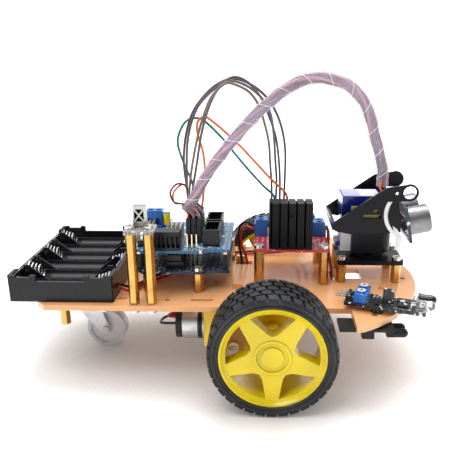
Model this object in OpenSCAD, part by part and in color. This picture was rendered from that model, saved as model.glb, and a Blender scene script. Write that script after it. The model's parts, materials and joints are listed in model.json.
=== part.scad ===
// Two wheel robot car: an acrylic deck on two geared wheels and a caster, with a six cell holder,
// a controller with its shield, a motor driver and a distance sensor on a pan and tilt head.
// Millimetres. +X is forward, +Z is up, the ground is z = 0 and y = 0 is the centre line.

/* [Deck] */
// Thickness of the acrylic deck
deck_t = 3; // [2.5:0.5:3]
// Height of the deck's top face above the ground
deck_top = 48.5; // [48.5:0.5:50]
// Half width of the deck between the wheels
deck_half = 50; // [47:0.5:50]
// Half width of the wings in front of the wheels
wing_half = 71.5; // [68:0.5:72]
// Radius of the round nose about the wheel axle
nose_r = 84; // [82:0.5:86]
// Distance from the wheel axle back to the rear edge
deck_back = 127; // [125:1:130]

/* [Wheels] */
// Radius of the driven wheels' tyres
wheel_r = 33; // [32.5:0.1:33]
// Width of a tyre
tyre_w = 26; // [24:0.5:26]
// Distance between the outer faces of the tyres
track_w = 155.2; // [155.2:0.2:160]
// Radius of a rim where the tyre sits
rim_r = 26.9; // [26:0.1:27.5]
// Number of spokes in a rim
spokes = 5; // [3:1:7]
// Diameter of the gearbox output shaft
shaft_d = 5.4; // [5:0.1:5.4]

/* [Caster] */
// Radius of the caster wheel
caster_r = 12.5; // [11:0.5:12.5]
// Width of the caster wheel
caster_w = 10; // [8:0.5:10]
// Distance of the wheel's axle from the swivel axis
caster_trail = 9.4; // [8:0.2:10]

/* [Stand-offs] */
// Width across the flats of a brass stand-off
standoff_af = 5; // [4.5:0.5:5.5]
// Height of the stand-offs under the controller and the pan base
short_h = 11; // [10:0.5:12]
// Height of the stand-offs under the motor driver
driver_h = 20; // [18:1:20]
// Height of the stand-offs under the infrared receiver
receiver_h = 40; // [35:1:40]

/* [Battery holder] */
// Number of cells side by side
cells = 6; // [2:1:6]
// Spacing of the cells
cell_pitch = 15.2; // [15:0.1:15.4]
// Length of the holder along the cells
holder_l = 57; // [56:0.5:58]
// Height of the holder
holder_h = 15; // [13:0.5:16]

/* [Boards] */
// Thickness of the circuit boards
board_t = 1.6; // [1.2:0.2:1.6]
// Width of the controller board
controller_w = 53.3; // [53:0.1:54]
// Length of the controller board
controller_l = 68.6; // [68:0.1:69]
// Side of the square motor driver board
driver_w = 43; // [42:0.5:43]
// Width across the distance sensor board
sonar_w = 45; // [44:0.5:46]
// Upward tilt of the distance sensor, in degrees
sonar_tilt = 12; // [8:1:14]

/* [Hidden] */
$fn = 48;

RIGHT = -1;
LEFT = 1;

// The wheel axle stands this far in front of the middle of the car's length.
axle_x = 26.9;

// Heights of the stacked levels.
deck_under = deck_top - deck_t;
controller_z = deck_top + short_h;
controller_top = controller_z + board_t;
shield_z = controller_top + 10.5;
shield_top = shield_z + board_t;
driver_z = deck_top + driver_h;
driver_top = driver_z + board_t;
receiver_z = deck_top + receiver_h;
receiver_top = receiver_z + board_t;

// Fasteners: M3 screws in clearance holes and threaded stand-offs.
screw_r = 1.5;
hole_r = 1.6;
thread_r = 1.55;
head_r = 2.7;
head_h = 1.8;
bite = 4;

// Where the stand-offs stand, measured from the wheel axle.
controller_x = -76.7;
controller_y = 37.1;
CONTROLLER_HOLES = [for (h = [[66, 35.6], [66, 7.6], [14, 2.5], [15.2, 50.8]])
    [controller_x + h[1], controller_y - h[0]]];
driver_x = 11.2;
driver_y = 2.4;
driver_pitch = 36.8;
DRIVER_HOLES = [for (i = [-0.5, 0.5], j = [-0.5, 0.5])
    [driver_x + i * driver_pitch, driver_y + j * driver_pitch]];
PAN_HOLES = [for (x = [40.2, 71.6], y = [-12, 12]) [x, y]];
RECEIVER_HOLES = [[-73.7, -45.7], [-64.4, -45.7]];
REAR_POSTS = [[-114.4, -40], [-114.4, 40]];
FREE_HOLES = [[61.7, -22], [61.7, 22], [77, -7], [77, 7], [-56.8, -41], [-56.8, 41],
    [66.3, -33], [66.3, 33], [52, -57.4], [52, 57.4], [-92, -40], [-92, 40]];

// Battery holder.
holder_x = -113.7;
holder_y = 1.2;
holder_w = cells * cell_pitch + 2.8;
holder_floor = 1.5;
bay_w = cell_pitch - 1;
bay_l = holder_l - 4;

// Wheels and gear motors: distances out from the centre line.
tyre_out = track_w / 2;
tyre_in = tyre_out - tyre_w;
case_in = 24.6;
case_out = 43.4;
case_mid = (case_in + case_out) / 2;
bracket_t = 3;
bolt_x = -20.6;
bolt_dz = 8.75;
bracket_w = 12;
tab_x = bolt_x - 1.5;
tab_w = 5.5;
hub_in = 46.9;
fit = 0.05;

// Caster.
caster_x = -102.6;
swivel_x = caster_x - caster_trail;
caster_plate_z = 31.8;
caster_plate_t = 1.4;
CASTER_POSTS = [for (x = [-13, 13], y = [-16, 16]) [swivel_x + x, y]];
SUNK_SCREWS = concat(REAR_POSTS, CASTER_POSTS);

// Obstacle sensor board on the right wing.
obstacle_at = [36.7, -50.9, deck_top + 2.5];
obstacle_turn = -20;
obstacle_l = 41;
obstacle_w = 16;

// Pan and tilt head.
pan_x = 56.6;
base_t = 2.5;
base_z = deck_top + short_h;
horn_z = base_z + base_t;
pan_body_z = horn_z + 2.2;
tilt_z = 92.3;
servo_l = 22.8;
servo_w = 12.2;
servo_h = 21.6;
servo_back = 17;
arm_in = 17.5;
arm_t = 1.5;
sonar_bottom = [75.6, 75.3];
eye_r = 8;
eye_h = 12;
eye_y = 13;

// Jumper plugs: one 2.5 mm housing over one pin.
pin_pitch = 2.54;
plug_h = 14;
plug_w = 2.4;
driver_plug_z = driver_top + 2.5;
shield_plug_z = shield_top + 2.5;
logic_y = 20;
signal_x = -46.6;

// Routes of the cords, from the wheel axle, in round millimetres.
ROUTE_BUNDLE = [[-49, -14, 91.5], [-44, -14, 98], [-38, -13, 109], [-31, -12, 119],
    [-23, -11, 129], [-14, -10, 139], [-5, -10, 148], [5, -9, 156], [14, -8, 161], [24, -6, 163],
    [35, -5, 161], [43, -4, 157], [50, -4, 149], [54, -3, 140], [57, -2, 130], [61, -1, 118],
    [63, 0, 109], [63, 0, 102.3]];
ROUTE_BROWN = [[-47, 0, 89.9], [-49, 1, 97], [-51, 2, 114], [-50, 3, 128], [-47, 5, 140],
    [-42, 6, 149], [-33, 8, 158], [-23, 9, 162], [-13, 11, 159], [-4, 13, 152], [2, 15, 143],
    [6, 17, 132], [8, 19, 119], [8, 20, 103], [7.6, 20, 86.9]];
ROUTE_PURPLE = [[-47, -3, 89.9], [-49, -2, 97], [-49, -1, 115], [-48, 0, 129], [-45, 2, 141],
    [-40, 3, 150], [-31, 5, 158], [-22, 6, 163], [-14, 8, 160], [-7, 10, 152], [-2, 12, 141],
    [2, 15, 129], [4, 18, 116], [5, 20, 102], [5.1, 20, 86.9]];
ROUTE_GREY = [[-47, -6, 89.9], [-46, -5, 99], [-43, -4, 115], [-40, -3, 132], [-36, -1, 146],
    [-31, 0, 156], [-25, 2, 161], [-18, 3, 160], [-11, 5, 156], [-5, 7, 150], [-1, 10, 142],
    [1, 13, 129], [2, 17, 115], [3, 20, 101], [2.5, 20, 86.9]];
ROUTE_WHITE = [[-47, -9, 89.9], [-47, -8.5, 101], [-45, -7.5, 116], [-41, -6.5, 134],
    [-37, -4, 146], [-33, -3, 154], [-26, -1, 160], [-20, 0, 159], [-13, 2, 155], [-8, 4, 148],
    [-5, 7, 139], [-2, 11, 126], [-1, 16, 112], [0, 20, 99], [0, 20, 86.9]];
ROUTE_GREEN = [[-44, 3, 89.9], [-45, 4, 97], [-48, 5.5, 106], [-52, 7, 115], [-55, 8, 126],
    [-53, 9, 134], [-49, 10, 139], [-43, 11, 140], [-38, 12, 137], [-29, 12, 128], [-22, 13, 119],
    [-13, 14, 108], [-5, 15, 99], [1, 16.4, 93], [2.5, 17.4, 86.9]];
ROUTE_ORANGE = [[-41, 0, 89.9], [-40, 1, 97], [-39, 3, 109], [-40, 5, 121], [-43, 7, 131],
    [-43, 8, 138], [-39, 9, 141], [-33, 10, 137], [-25, 10, 130], [-17, 11, 122], [-9, 12.5, 113],
    [-1, 14, 104], [5, 16, 98], [8.8, 17.2, 93.5], [10.2, 20, 86.9]];
ROUTE_DRIVER_RED = [[-10.7, 8, 74], [-15, 9, 75], [-18, 11, 73], [-19, 13, 67], [-18, 15, 60],
    [-16, 16.5, 54], [-15, 17, 48], [-15, 16.5, 41], [-19, 15.5, 34], [-28, 15, 31], [-38, 15, 30],
    [-50, 18, 31], [-57, 21, 32], [-60, 26, 33], [-58, 30, 33], [-52.8, 30, 33]];
ROUTE_DRIVER_BLACK = [[-10.7, 13, 74], [-15, 14, 76.5], [-19, 15.5, 74], [-20.5, 17, 67],
    [-20, 18, 60], [-19, 18.5, 54], [-18.5, 18, 48], [-19.5, 16, 44], [-24, 13, 41], [-31, 11, 39],
    [-38, 11, 37], [-50, 13, 35], [-60, 17, 34], [-67, 25, 33], [-67, 33, 33], [-62, 38, 33],
    [-52.8, 38.5, 33]];
ROUTE_BATTERY_RED = [[-84.8, -34, 53], [-81, -34, 51], [-77, -32, 50], [-75, -26, 50],
    [-71, -19, 50], [-62, -10, 50], [-54, 0, 50], [-48, 9, 50], [-38, 19, 50], [-26, 28, 50],
    [-8, 32, 50], [8, 33, 51], [16.5, 33, 57], [19.3, 33, 66], [19.3, 29, 73], [19.3, 24.2, 74]];
ROUTE_BATTERY_BLACK = [[-84.8, -30, 53], [-81, -29, 51], [-78, -26, 50], [-75, -20, 50],
    [-69, -10, 50], [-61, 0, 50], [-52, 12, 50], [-40, 24, 50], [-25, 33, 50], [-8, 36, 50],
    [10, 37, 51], [21, 37, 57], [24.3, 36, 66], [24.3, 30, 73], [24.3, 24.2, 74]];
bundle_d = 7;
wire_d = 1.4;
lead_d = 1.6;

// Shapes that repeat.

// Colours one sub-part and carries it from the axle's frame to the car's.
module part(colour) color(colour) translate([axle_x, 0, 0]) children();

// Box between two corners.
module block(low, high) translate(low) cube(high - low);

// Plate with four round corners, its near left corner at the origin.
module round_plate(size, r, h) {
    linear_extrude(h) union() {
        translate([r, 0]) square([size[0] - 2 * r, size[1]]);
        translate([0, r]) square([size[0], size[1] - 2 * r]);
        for (x = [r, size[0] - r], y = [r, size[1] - r]) translate([x, y]) circle(r);
    }
}

// Hexagonal stand-off with its thread bored through.
module standoff(h) {
    difference() {
        cylinder(d = standoff_af / cos(30), h = h, $fn = 6);
        translate([0, 0, -1]) cylinder(r = thread_r, h = h + 2);
    }
}

// Row of stand-offs on the deck.
module standoffs(places, h) for (p = places) translate([p[0], p[1], deck_top]) standoff(h);

// Cross-head screw: its head sits on z = 0 and its shank points down.
module screw(reach) {
    difference() {
        cylinder(r = head_r, h = head_h, $fn = 32);
        for (a = [0, 90]) rotate([0, 0, a]) translate([-1.6, -0.35, head_h - 0.8]) cube([3.2, 0.7, 1]);
    }
    translate([0, 0, -reach]) cylinder(r = screw_r, h = reach + 0.1, $fn = 32);
}

// Round bores through a plate from z0 to z1.
module bores(places, r, z0, z1) {
    for (p = places) translate([p[0], p[1], z0 - 1]) cylinder(r = r, h = z1 - z0 + 2);
}

// Square header pins standing in a grid.
module pins(at, columns, rows, h) {
    for (i = [0:columns - 1], j = [0:rows - 1])
        translate(at + [i * pin_pitch - 0.32, j * pin_pitch - 0.32, 0]) cube([0.64, 0.64, h]);
}

// Screw terminal with its wire mouths facing -Y and screw wells on top.
module terminal(poles, pitch, depth, h) {
    w = poles * pitch;
    difference() {
        translate([0, 0, 0]) cube([w, depth, h]);
        for (i = [0:poles - 1]) translate([(i + 0.5) * pitch, 0, 0]) {
            translate([-pitch * 0.32, -1, 1.2]) cube([pitch * 0.64, 4, h * 0.45]);
            translate([0, depth / 2, h - 2.5]) cylinder(r = 1.7, h = 3, $fn = 24);
        }
        translate([-1, -1, h - 2.2]) cube([w + 2, 2, 3]);
    }
}

// Helpers for the swept cords.
function unit(v) = v / norm(v);
function curve(a, b, c, d, t) = 0.5 * (2 * b + (c - a) * t + (2 * a - 5 * b + 4 * c - d) * t * t
    + (3 * b - a - 3 * c + d) * t * t * t);
function smooth(p, steps) = let (n = len(p)) concat(
    [for (i = [0:n - 2], s = [0:steps - 1])
        curve(p[max(i - 1, 0)], p[i], p[i + 1], p[min(i + 2, n - 1)], s / steps)],
    [p[n - 1]]);

// Round tube swept along a route; across is a direction that the route never follows.
module tube(route, d, across = [0, 1, 0], sides = 8, steps = 2) {
    path = smooth(route, steps);
    last = len(path) - 1;
    skin = [for (i = [0:last])
        let (t = unit(path[min(i + 1, last)] - path[max(i - 1, 0)]),
            u = unit(cross(t, across)), v = cross(t, u))
        for (k = [0:sides - 1])
            path[i] + d / 2 * (cos(360 * k / sides) * u + sin(360 * k / sides) * v)];
    walls = [for (i = [0:last - 1], k = [0:sides - 1]) let (m = (k + 1) % sides)
        [i * sides + k, (i + 1) * sides + k, (i + 1) * sides + m, i * sides + m]];
    first_cap = [for (k = [0:sides - 1]) k];
    last_cap = [for (k = [sides - 1:-1:0]) last * sides + k];
    polyhedron(points = skin, faces = concat([first_cap], walls, [last_cap]), convexity = 4);
}

// Structure.

// Outline of the deck: straight sides, wings in front of the wheels and a round nose.
module deck_outline() {
    notch_x = wheel_r + 8;
    difference() {
        union() {
            translate([-deck_back, -deck_half]) square([deck_back + notch_x + 1, 2 * deck_half]);
            intersection() {
                circle(r = nose_r, $fn = 120);
                translate([notch_x, -wing_half]) square([nose_r, 2 * wing_half]);
            }
        }
        for (s = [-1, 1]) translate([-deck_back, s * deck_half]) rotate([0, 0, 45])
            square([7, 7], center = true);
    }
}

// Straight slots cut in the deck for wires, brackets and spare fixings: x, y, length, width.
DECK_SLOTS = [for (s = [-1, 1]) each [[-83.8, s * 39.5 - 1.5, 5, 3], [-44, s * 41 - 1.5, 12, 3],
    [60, s * 52 - 1.5, 10, 3], [-96, s * 22 - 1.5, 12, 3], [56, s * 40 - 1.5, 8, 3]]];

module deck() part("sandybrown") {
    difference() {
        translate([0, 0, deck_under]) linear_extrude(deck_t) deck_outline();
        bores(concat(CONTROLLER_HOLES, DRIVER_HOLES, PAN_HOLES, RECEIVER_HOLES, REAR_POSTS,
            FREE_HOLES, CASTER_POSTS), hole_r, deck_under, deck_top);
        bores([[-34, -15.4], [-34, 15.4]], 2.5, deck_under, deck_top);
        for (p = SUNK_SCREWS) translate([p[0], p[1], deck_top - head_h])
            cylinder(r = head_r + fit, h = deck_t);
        for (s = DECK_SLOTS)
            block([s[0], s[1], deck_under - 1], [s[0] + s[2], s[1] + s[3], deck_top + 1]);
        for (s = [RIGHT, LEFT], y = [case_in - bracket_t / 2, case_out + bracket_t / 2])
            block([tab_x - 0.1, s * y - bracket_t / 2 - 0.1, deck_under - 1],
                [tab_x + tab_w + 0.1, s * y + bracket_t / 2 + 0.1, deck_top + 1]);
        block([35, -10, deck_under - 1], [37.4, 4, deck_top + 1]);
        block([43, -8, deck_under - 1], [53, 8, deck_top + 1]);
        block([-22, 15, deck_under - 1], [-12, 20.8, deck_top + 1]);
    }
}

module short_standoffs() part("goldenrod") {
    standoffs(CONTROLLER_HOLES, short_h);
    standoffs(PAN_HOLES, short_h);
    for (p = REAR_POSTS) translate([p[0], p[1], deck_under - 12]) standoff(12);
    for (p = CASTER_POSTS) translate([p[0], p[1], caster_plate_z + caster_plate_t])
        standoff(deck_under - caster_plate_z - caster_plate_t);
}

module driver_standoffs() part("goldenrod") standoffs(DRIVER_HOLES, driver_h);

module receiver_standoffs() part("goldenrod") standoffs(RECEIVER_HOLES, receiver_h);

// Every M3 screw: from below the deck, and down through each board into its stand-off.
module screws() part("silver") {
    for (p = concat(CONTROLLER_HOLES, DRIVER_HOLES, PAN_HOLES, RECEIVER_HOLES))
        translate([p[0], p[1], deck_under]) mirror([0, 0, 1]) screw(deck_t + bite);
    for (p = CONTROLLER_HOLES) translate([p[0], p[1], controller_top]) screw(board_t + bite);
    for (p = DRIVER_HOLES) translate([p[0], p[1], driver_top]) screw(board_t + bite);
    for (p = PAN_HOLES) translate([p[0], p[1], horn_z]) screw(base_t + bite);
    for (p = RECEIVER_HOLES) translate([p[0], p[1], receiver_top]) screw(board_t + bite);
    for (p = SUNK_SCREWS) translate([p[0], p[1], deck_top - head_h])
        screw(deck_t - head_h + bite);
    for (p = CASTER_POSTS) translate([p[0], p[1], caster_plate_z]) mirror([0, 0, 1])
        screw(caster_plate_t + bite);
    for (s = [RIGHT, LEFT], z = [-bolt_dz, bolt_dz])
        translate([bolt_x, s * (case_out + bracket_t), wheel_r + z]) rotate([-90 * s, 0, 0]) {
            screw(case_out - case_in + 2 * bracket_t + 1);
            translate([0, 0, -(case_out - case_in + 2 * bracket_t + 2.4)])
                difference() {
                    cylinder(d = 6.2, h = 2.4, $fn = 6);
                    translate([0, 0, 1]) cylinder(r = screw_r, h = 2);
                }
        }
}

// Battery holder.

// Side profile of the shallow V between two cells.
module divider_dip(w) {
    rotate([90, 0, 0]) linear_extrude(w, center = true)
        polygon([[-22, holder_h + 1], [-22, holder_h - 0.8], [-12, 6.5], [12, 6.5],
            [22, holder_h - 0.8], [22, holder_h + 1]]);
}

module battery_holder() part("dimgray") translate([holder_x, holder_y, deck_top]) {
    first = -(cells - 1) / 2 * cell_pitch;
    difference() {
        translate([-holder_l / 2, -holder_w / 2, 0]) round_plate([holder_l, holder_w], 1.2, holder_h);
        for (i = [0:cells - 1]) translate([0, first + i * cell_pitch, 0]) {
            block([-bay_l / 2, -bay_w / 2, 7], [bay_l / 2, bay_w / 2, holder_h + 1]);
            translate([-bay_l / 2, 0, 7 + holder_floor]) rotate([0, 90, 0])
                cylinder(r = bay_w / 2 - 0.1, h = bay_l);
        }
        for (i = [1:cells - 1]) translate([0, first + (i - 0.5) * cell_pitch, 0]) divider_dip(1.6);
        for (s = [-1, 1]) {
            translate([0, s * holder_w / 2, 0])
                block([-13, -3, holder_h - 3.4], [13, 3, holder_h + 1]);
            for (x = [-24, 16]) translate([x, s * holder_w / 2, 0])
                block([0, -3, holder_h - 1.2], [8, 3, holder_h + 1]);
        }
        for (x = [-1, 1]) block([x * holder_l / 2 - 3, -36, holder_h - 1.8],
            [x * holder_l / 2 + 3, 36, holder_h + 1]);
    }
}

// A conical spring at one end of each cell and a pressed plate at the other.
module battery_contacts() part("silver") translate([holder_x, holder_y, deck_top]) {
    spring_z = 7 + holder_floor;
    turns = 4;
    coil = [for (a = [0:30:360 * turns]) let (r = 5.7 - 2.4 * a / 360 / turns)
        [a / 360 * 1.9 + 0.9, r * cos(a), r * sin(a)]];
    for (i = [0:cells - 1]) {
        s = i % 2 == 0 ? 1 : -1;
        translate([s * bay_l / 2, (i - (cells - 1) / 2) * cell_pitch, spring_z])
            rotate([0, 0, s > 0 ? 180 : 0]) {
                block([0, -5, -5], [0.4, 5, 5.4]);
                tube(coil, 0.9, [1, 0, 0], 6, 1);
            }
        translate([-s * bay_l / 2, (i - (cells - 1) / 2) * cell_pitch, spring_z])
            rotate([0, 0, s > 0 ? 0 : 180]) {
                block([0, -5, -5], [0.4, 5, 5.4]);
                translate([0.3, 0, 0]) rotate([0, 90, 0]) cylinder(r = 2.6, h = 0.9);
            }
    }
}

// Controller and shield. Both outlines are drawn along u, away from the connectors, and across v.
module on_controller(z) translate([controller_x, controller_y, z]) rotate([0, 0, -90]) children();

module board_outline(from_u) {
    polygon([[from_u, 0], [controller_l - 2.6, 0], [controller_l - 2.6, 2.5],
        [controller_l, 5.1], [controller_l, 37.9], [controller_l - 2.6, 40.4],
        [controller_l - 2.6, controller_w], [from_u, controller_w]]);
}

module controller_board() part("midnightblue") difference() {
    on_controller(controller_z) linear_extrude(board_t) board_outline(0);
    bores(CONTROLLER_HOLES, hole_r, controller_z, controller_top);
}

module controller_connectors() part("gray") on_controller(controller_top) {
    difference() {
        block([-6.2, 32, 0], [10, 44, 10.2]);
        block([-7, 34, 1.6], [4, 42, 8.6]);
    }
    difference() {
        block([-1.8, 3.3, 0], [11, 12.3, 10.2]);
        translate([-2, 7.8, 6]) rotate([0, 90, 0]) cylinder(r = 3.1, h = 9);
    }
}

// Socket strips, the main chip in its socket, crystal and two capacitors.
module controller_parts() part("black") on_controller(controller_top) {
    socket_h = 8.4;
    for (run = [[18.6, 42.4, 49.6], [43.6, 64.6, 49.6], [27, 47, 1.3], [49, 64.6, 1.3]])
        block([run[0], run[2], 0], [run[1], run[2] + 2.5, socket_h]);
    block([28, 17, 0], [63, 27, 3.6]);
    block([29, 18, 3.6], [62, 26, 7.2]);
    for (v = [6, 14]) translate([19, v + 2, 0]) cylinder(r = 3, h = 5.4);
    pins([57.5, 29.5, 0], 2, 3, 8.4);
}

module shield_board() part("steelblue") difference() {
    on_controller(shield_z) linear_extrude(board_t) board_outline(12);
    bores([CONTROLLER_HOLES[0], CONTROLLER_HOLES[1]], hole_r, shield_z, shield_top);
}

// Rows of signal pins on the shield, and the long pins that reach into the sockets below.
module shield_pins() part("gold") {
    translate([0, 0, shield_top]) {
        pins([signal_x, -28, 0], 3, 1, 8.5);
        pins([-59.5, -19, 0], 4, 7, 8.5);
        pins([signal_x, 12.5, 0], 3, 3, 8.5);
        pins([-72, -8, 0], 2, 4, 8.5);
    }
    translate([-71, -15, shield_top]) cylinder(r = 1.6, h = 5, $fn = 24);
    on_controller(controller_top + 8.4) {
        block([27, 1.6, 0], [64, 3.5, 2]);
        block([19, 49.9, 0], [64, 51.8, 2]);
    }
}

// Black plastic on the shield: the ribbed block, two box headers and the reset switch's housing.
module shield_headers() part("black") translate([0, 0, shield_top]) {
    difference() {
        block([-65.6, -31, 0], [-50.4, -24, 10.5]);
        for (i = [0:5]) block([-65.1 + i * 2.54, -32, 1.5], [-63.4 + i * 2.54, -27.5, 8]);
    }
    for (y = [-24, -3]) difference() {
        block([-38.5, y, 0], [-29, y + 18, 9.6]);
        block([-37.4, y + 1.1, 1.2], [-30.1, y + 16.9, 10]);
        block([-39, y + 7, 3], [-37, y + 11, 10]);
    }
    for (y = [-24, -3]) pins([-35, y + 3.9, 1.2], 2, 5, 6);
    difference() {
        block([-75, -25, 0], [-69, -19, 3.6]);
        translate([-72, -22, 1]) cylinder(r = 1.8, h = 3);
    }
}

module shield_terminal() part("dodgerblue") {
    translate([-77, 12, shield_top]) terminal(2, 5, 8, 10.5);
    translate([-64.7, 15, shield_top]) cylinder(r = 2.4, h = 9);
}

// Plunger of the reset switch, on its axis in the housing.
module reset_button() part("white") translate([-72, -22, shield_top + 2.2]) cylinder(r = 1.7, h = 2.6);

// Single-pin housings on the wire ends, at the shield and at the driver's logic pins.
module plug(x, y, z) {
    translate([x - plug_w / 2, y - plug_w / 2, z]) cube([plug_w, plug_w, plug_h]);
}

module jumper_plugs() part("black") {
    for (p = [[-47, 0], [-47, -3], [-47, -6], [-47, -9], [-44, 3], [-41, 0]])
        plug(p[0], p[1], shield_plug_z);
    for (x = [-47, -44, -41], y = [-15.2, -18]) plug(x, y, shield_plug_z - 2);
    for (x = [-44, -41], y = [-12, -9, -6, -3]) plug(x, y, shield_plug_z);
    for (i = [0:4]) plug(i * pin_pitch, logic_y, driver_plug_z);
    plug(pin_pitch, logic_y - 2.6, driver_plug_z);
}

// Infrared receiver on its tall stand-offs.
module receiver_board() part("white") difference() {
    translate([-76.1, -52, receiver_z]) round_plate([15.4, 14.6], 1.5, board_t);
    bores(RECEIVER_HOLES, hole_r, receiver_z, receiver_top);
}

// Pressed cage with a crossed window, and the dark receiver block inside it.
module receiver_cage() part("silver") translate([-69.2, -37.9, receiver_top]) {
    difference() {
        block([-3.3, -5, 0], [3.3, 0.4, 11]);
        block([-2.7, -4.4, 0.6], [2.7, -0.2, 10.4]);
        difference() {
            block([-2.5, -6, 3], [2.5, -3, 9.6]);
            for (a = [-37, 37]) translate([0, -4.7, 6.3]) rotate([0, a, 0])
                cube([0.8, 1, 12], center = true);
        }
    }
    block([-2.7, -3.4, 0.6], [2.7, -0.2, 10.4]);
}

// Motor driver.
module driver_board() part("firebrick") difference() {
    translate([driver_x - driver_w / 2, driver_y - driver_w / 2, driver_z])
        round_plate([driver_w, driver_w], 1, board_t);
    bores(DRIVER_HOLES, hole_r, driver_z, driver_top);
}

sink_w = 24.2;
sink_h = 26.7;
module heat_sink() part("black") translate([-1.7, -19.5, driver_top]) {
    difference() {
        cube([sink_w, 15.5, sink_h]);
        for (i = [0:4]) translate([0.8 + i * 4.65, -1, -1]) cube([1, 12.5, sink_h + 2]);
        translate([-1, 11.5, sink_h - 2]) cube([sink_w + 2, 5, 3]);
        translate([12.2, -1, 20.2]) rotate([-90, 0, 0]) cylinder(r = 1.4, h = 2.2);
    }
}

// Bridge chip behind the heat sink, two capacitors, the regulator and the logic header.
module driver_parts() part("darkslategray") translate([0, 0, driver_top]) {
    block([1, -4, 2.4], [20, 0.6, 18]);
    for (i = [0:7]) block([2 + i * 2.4, -1.4, 0], [2.7 + i * 2.4, -0.8, 2.4]);
    translate([2.5, 8, 0]) cylinder(r = 3.6, h = 9);
    translate([19.5, 8, 0]) cylinder(r = 3.6, h = 9);
    block([8, 5.5, 0], [14.5, 11.5, 2.3]);
    block([-1.3, logic_y - 1.3, 0], [11.5, logic_y + 1.3, 2.5]);
    block([1.3, logic_y - 3.9, 0], [3.8, logic_y - 1.3, 2.5]);
}

module driver_terminals() part("dodgerblue") translate([0, 0, driver_top]) {
    translate([-10.3, 16, 0]) rotate([0, 0, -90]) terminal(2, 5, 8, 10);
    translate([32.8, 6, 0]) rotate([0, 0, 90]) terminal(2, 5, 8, 8.6);
    translate([26.8, 23.8, 0]) rotate([0, 0, 180]) terminal(3, 5, 7.6, 10);
}

// Gear motors: cases, cans and the acrylic brackets that hang them from the deck.
module gear_case(side) translate([0, 0, wheel_r]) rotate([-90 * side, 0, 0]) {
    difference() {
        union() {
            translate([-37, -11.2, case_in]) cube([37, 22.4, case_out - case_in]);
            translate([0, 0, case_in]) cylinder(r = 11.2, h = case_out - case_in);
            translate([6, -2.7, case_mid - 1.3]) cube([11, 5.4, 2.6]);
            translate([-11, 0, case_out - 0.5]) cylinder(r = 2, h = 2);
        }
        translate([0, 0, case_in - 1]) cylinder(d = shaft_d + 2 * fit, h = 30);
        for (y = [-bolt_dz, bolt_dz]) translate([bolt_x, y, case_in - 1]) cylinder(r = hole_r, h = 30);
        translate([14.5, 0, case_mid - 3]) cylinder(r = 1.5, h = 6);
        difference() {
            translate([-40, -14, case_mid - 0.2]) cube([51, 28, 0.4]);
            translate([-36.5, -10.7, case_mid - 0.3]) cube([36.5, 21.4, 0.6]);
            translate([0, 0, case_mid - 1]) cylinder(r = 10.7, h = 2);
            translate([5, -5, case_mid - 1]) cube([12, 10, 2]);
        }
    }
}

module right_gear_case() part("gold") gear_case(RIGHT);
module left_gear_case() part("gold") gear_case(LEFT);

module motor_cans() part("silver") for (s = [RIGHT, LEFT]) translate([0, s * case_mid, wheel_r]) {
    difference() {
        intersection() {
            block([-49, -10, -7.7], [-37, 10, 7.7]);
            translate([-50, 0, 0]) rotate([0, 90, 0]) cylinder(r = 10.1, h = 14);
        }
        translate([-49.5, -3, 6.9]) cube([6, 6, 2]);
    }
    intersection() {
        block([-52.6, -9.6, -7.3], [-49, 9.6, 7.3]);
        translate([-53, 0, 0]) rotate([0, 90, 0]) cylinder(r = 9.7, h = 6);
    }
    translate([-53.4, 0, 0]) rotate([0, 90, 0]) cylinder(r = 3, h = 1);
}

module bracket() {
    difference() {
        union() {
            block([bolt_x - bracket_w / 2, 0, wheel_r - 12],
                [bolt_x + bracket_w / 2, bracket_t, wheel_r + 10.6]);
            block([tab_x, 0, wheel_r], [tab_x + tab_w, bracket_t, deck_top + 3]);
        }
        for (z = [-bolt_dz, bolt_dz]) translate([bolt_x, -1, wheel_r + z]) rotate([-90, 0, 0])
            cylinder(r = hole_r, h = bracket_t + 2);
    }
}

module motor_brackets() part("sandybrown") {
    for (s = [RIGHT, LEFT], y = [case_in - bracket_t / 2, case_out + bracket_t / 2])
        translate([0, s * y - bracket_t / 2, 0]) bracket();
}

// Driven wheels, drawn with their axis along +Z and distances measured from the centre line.
module wheel(side) translate([0, 0, wheel_r]) rotate([-90 * side, 0, 0]) children();

module tyre() {
    rib = 5.2;
    rotate_extrude($fn = 96) difference() {
        polygon([[rim_r, tyre_in + 1], [rim_r + 0.6, tyre_in], [wheel_r - 2.4, tyre_in],
            [wheel_r - 0.6, tyre_in + 1], [wheel_r, tyre_in + 2.6], [wheel_r, tyre_out - 2.6],
            [wheel_r - 0.6, tyre_out - 1], [wheel_r - 2.4, tyre_out], [rim_r + 0.6, tyre_out],
            [rim_r, tyre_out - 1]]);
        for (k = [-1.5:1:1.5]) translate([wheel_r - 1.3, (tyre_in + tyre_out) / 2 + k * rib - 0.5])
            square([2, 1]);
    }
}

module shaft_section() intersection() {
    circle(d = shaft_d);
    square([3.7, 10], center = true);
}

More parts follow.
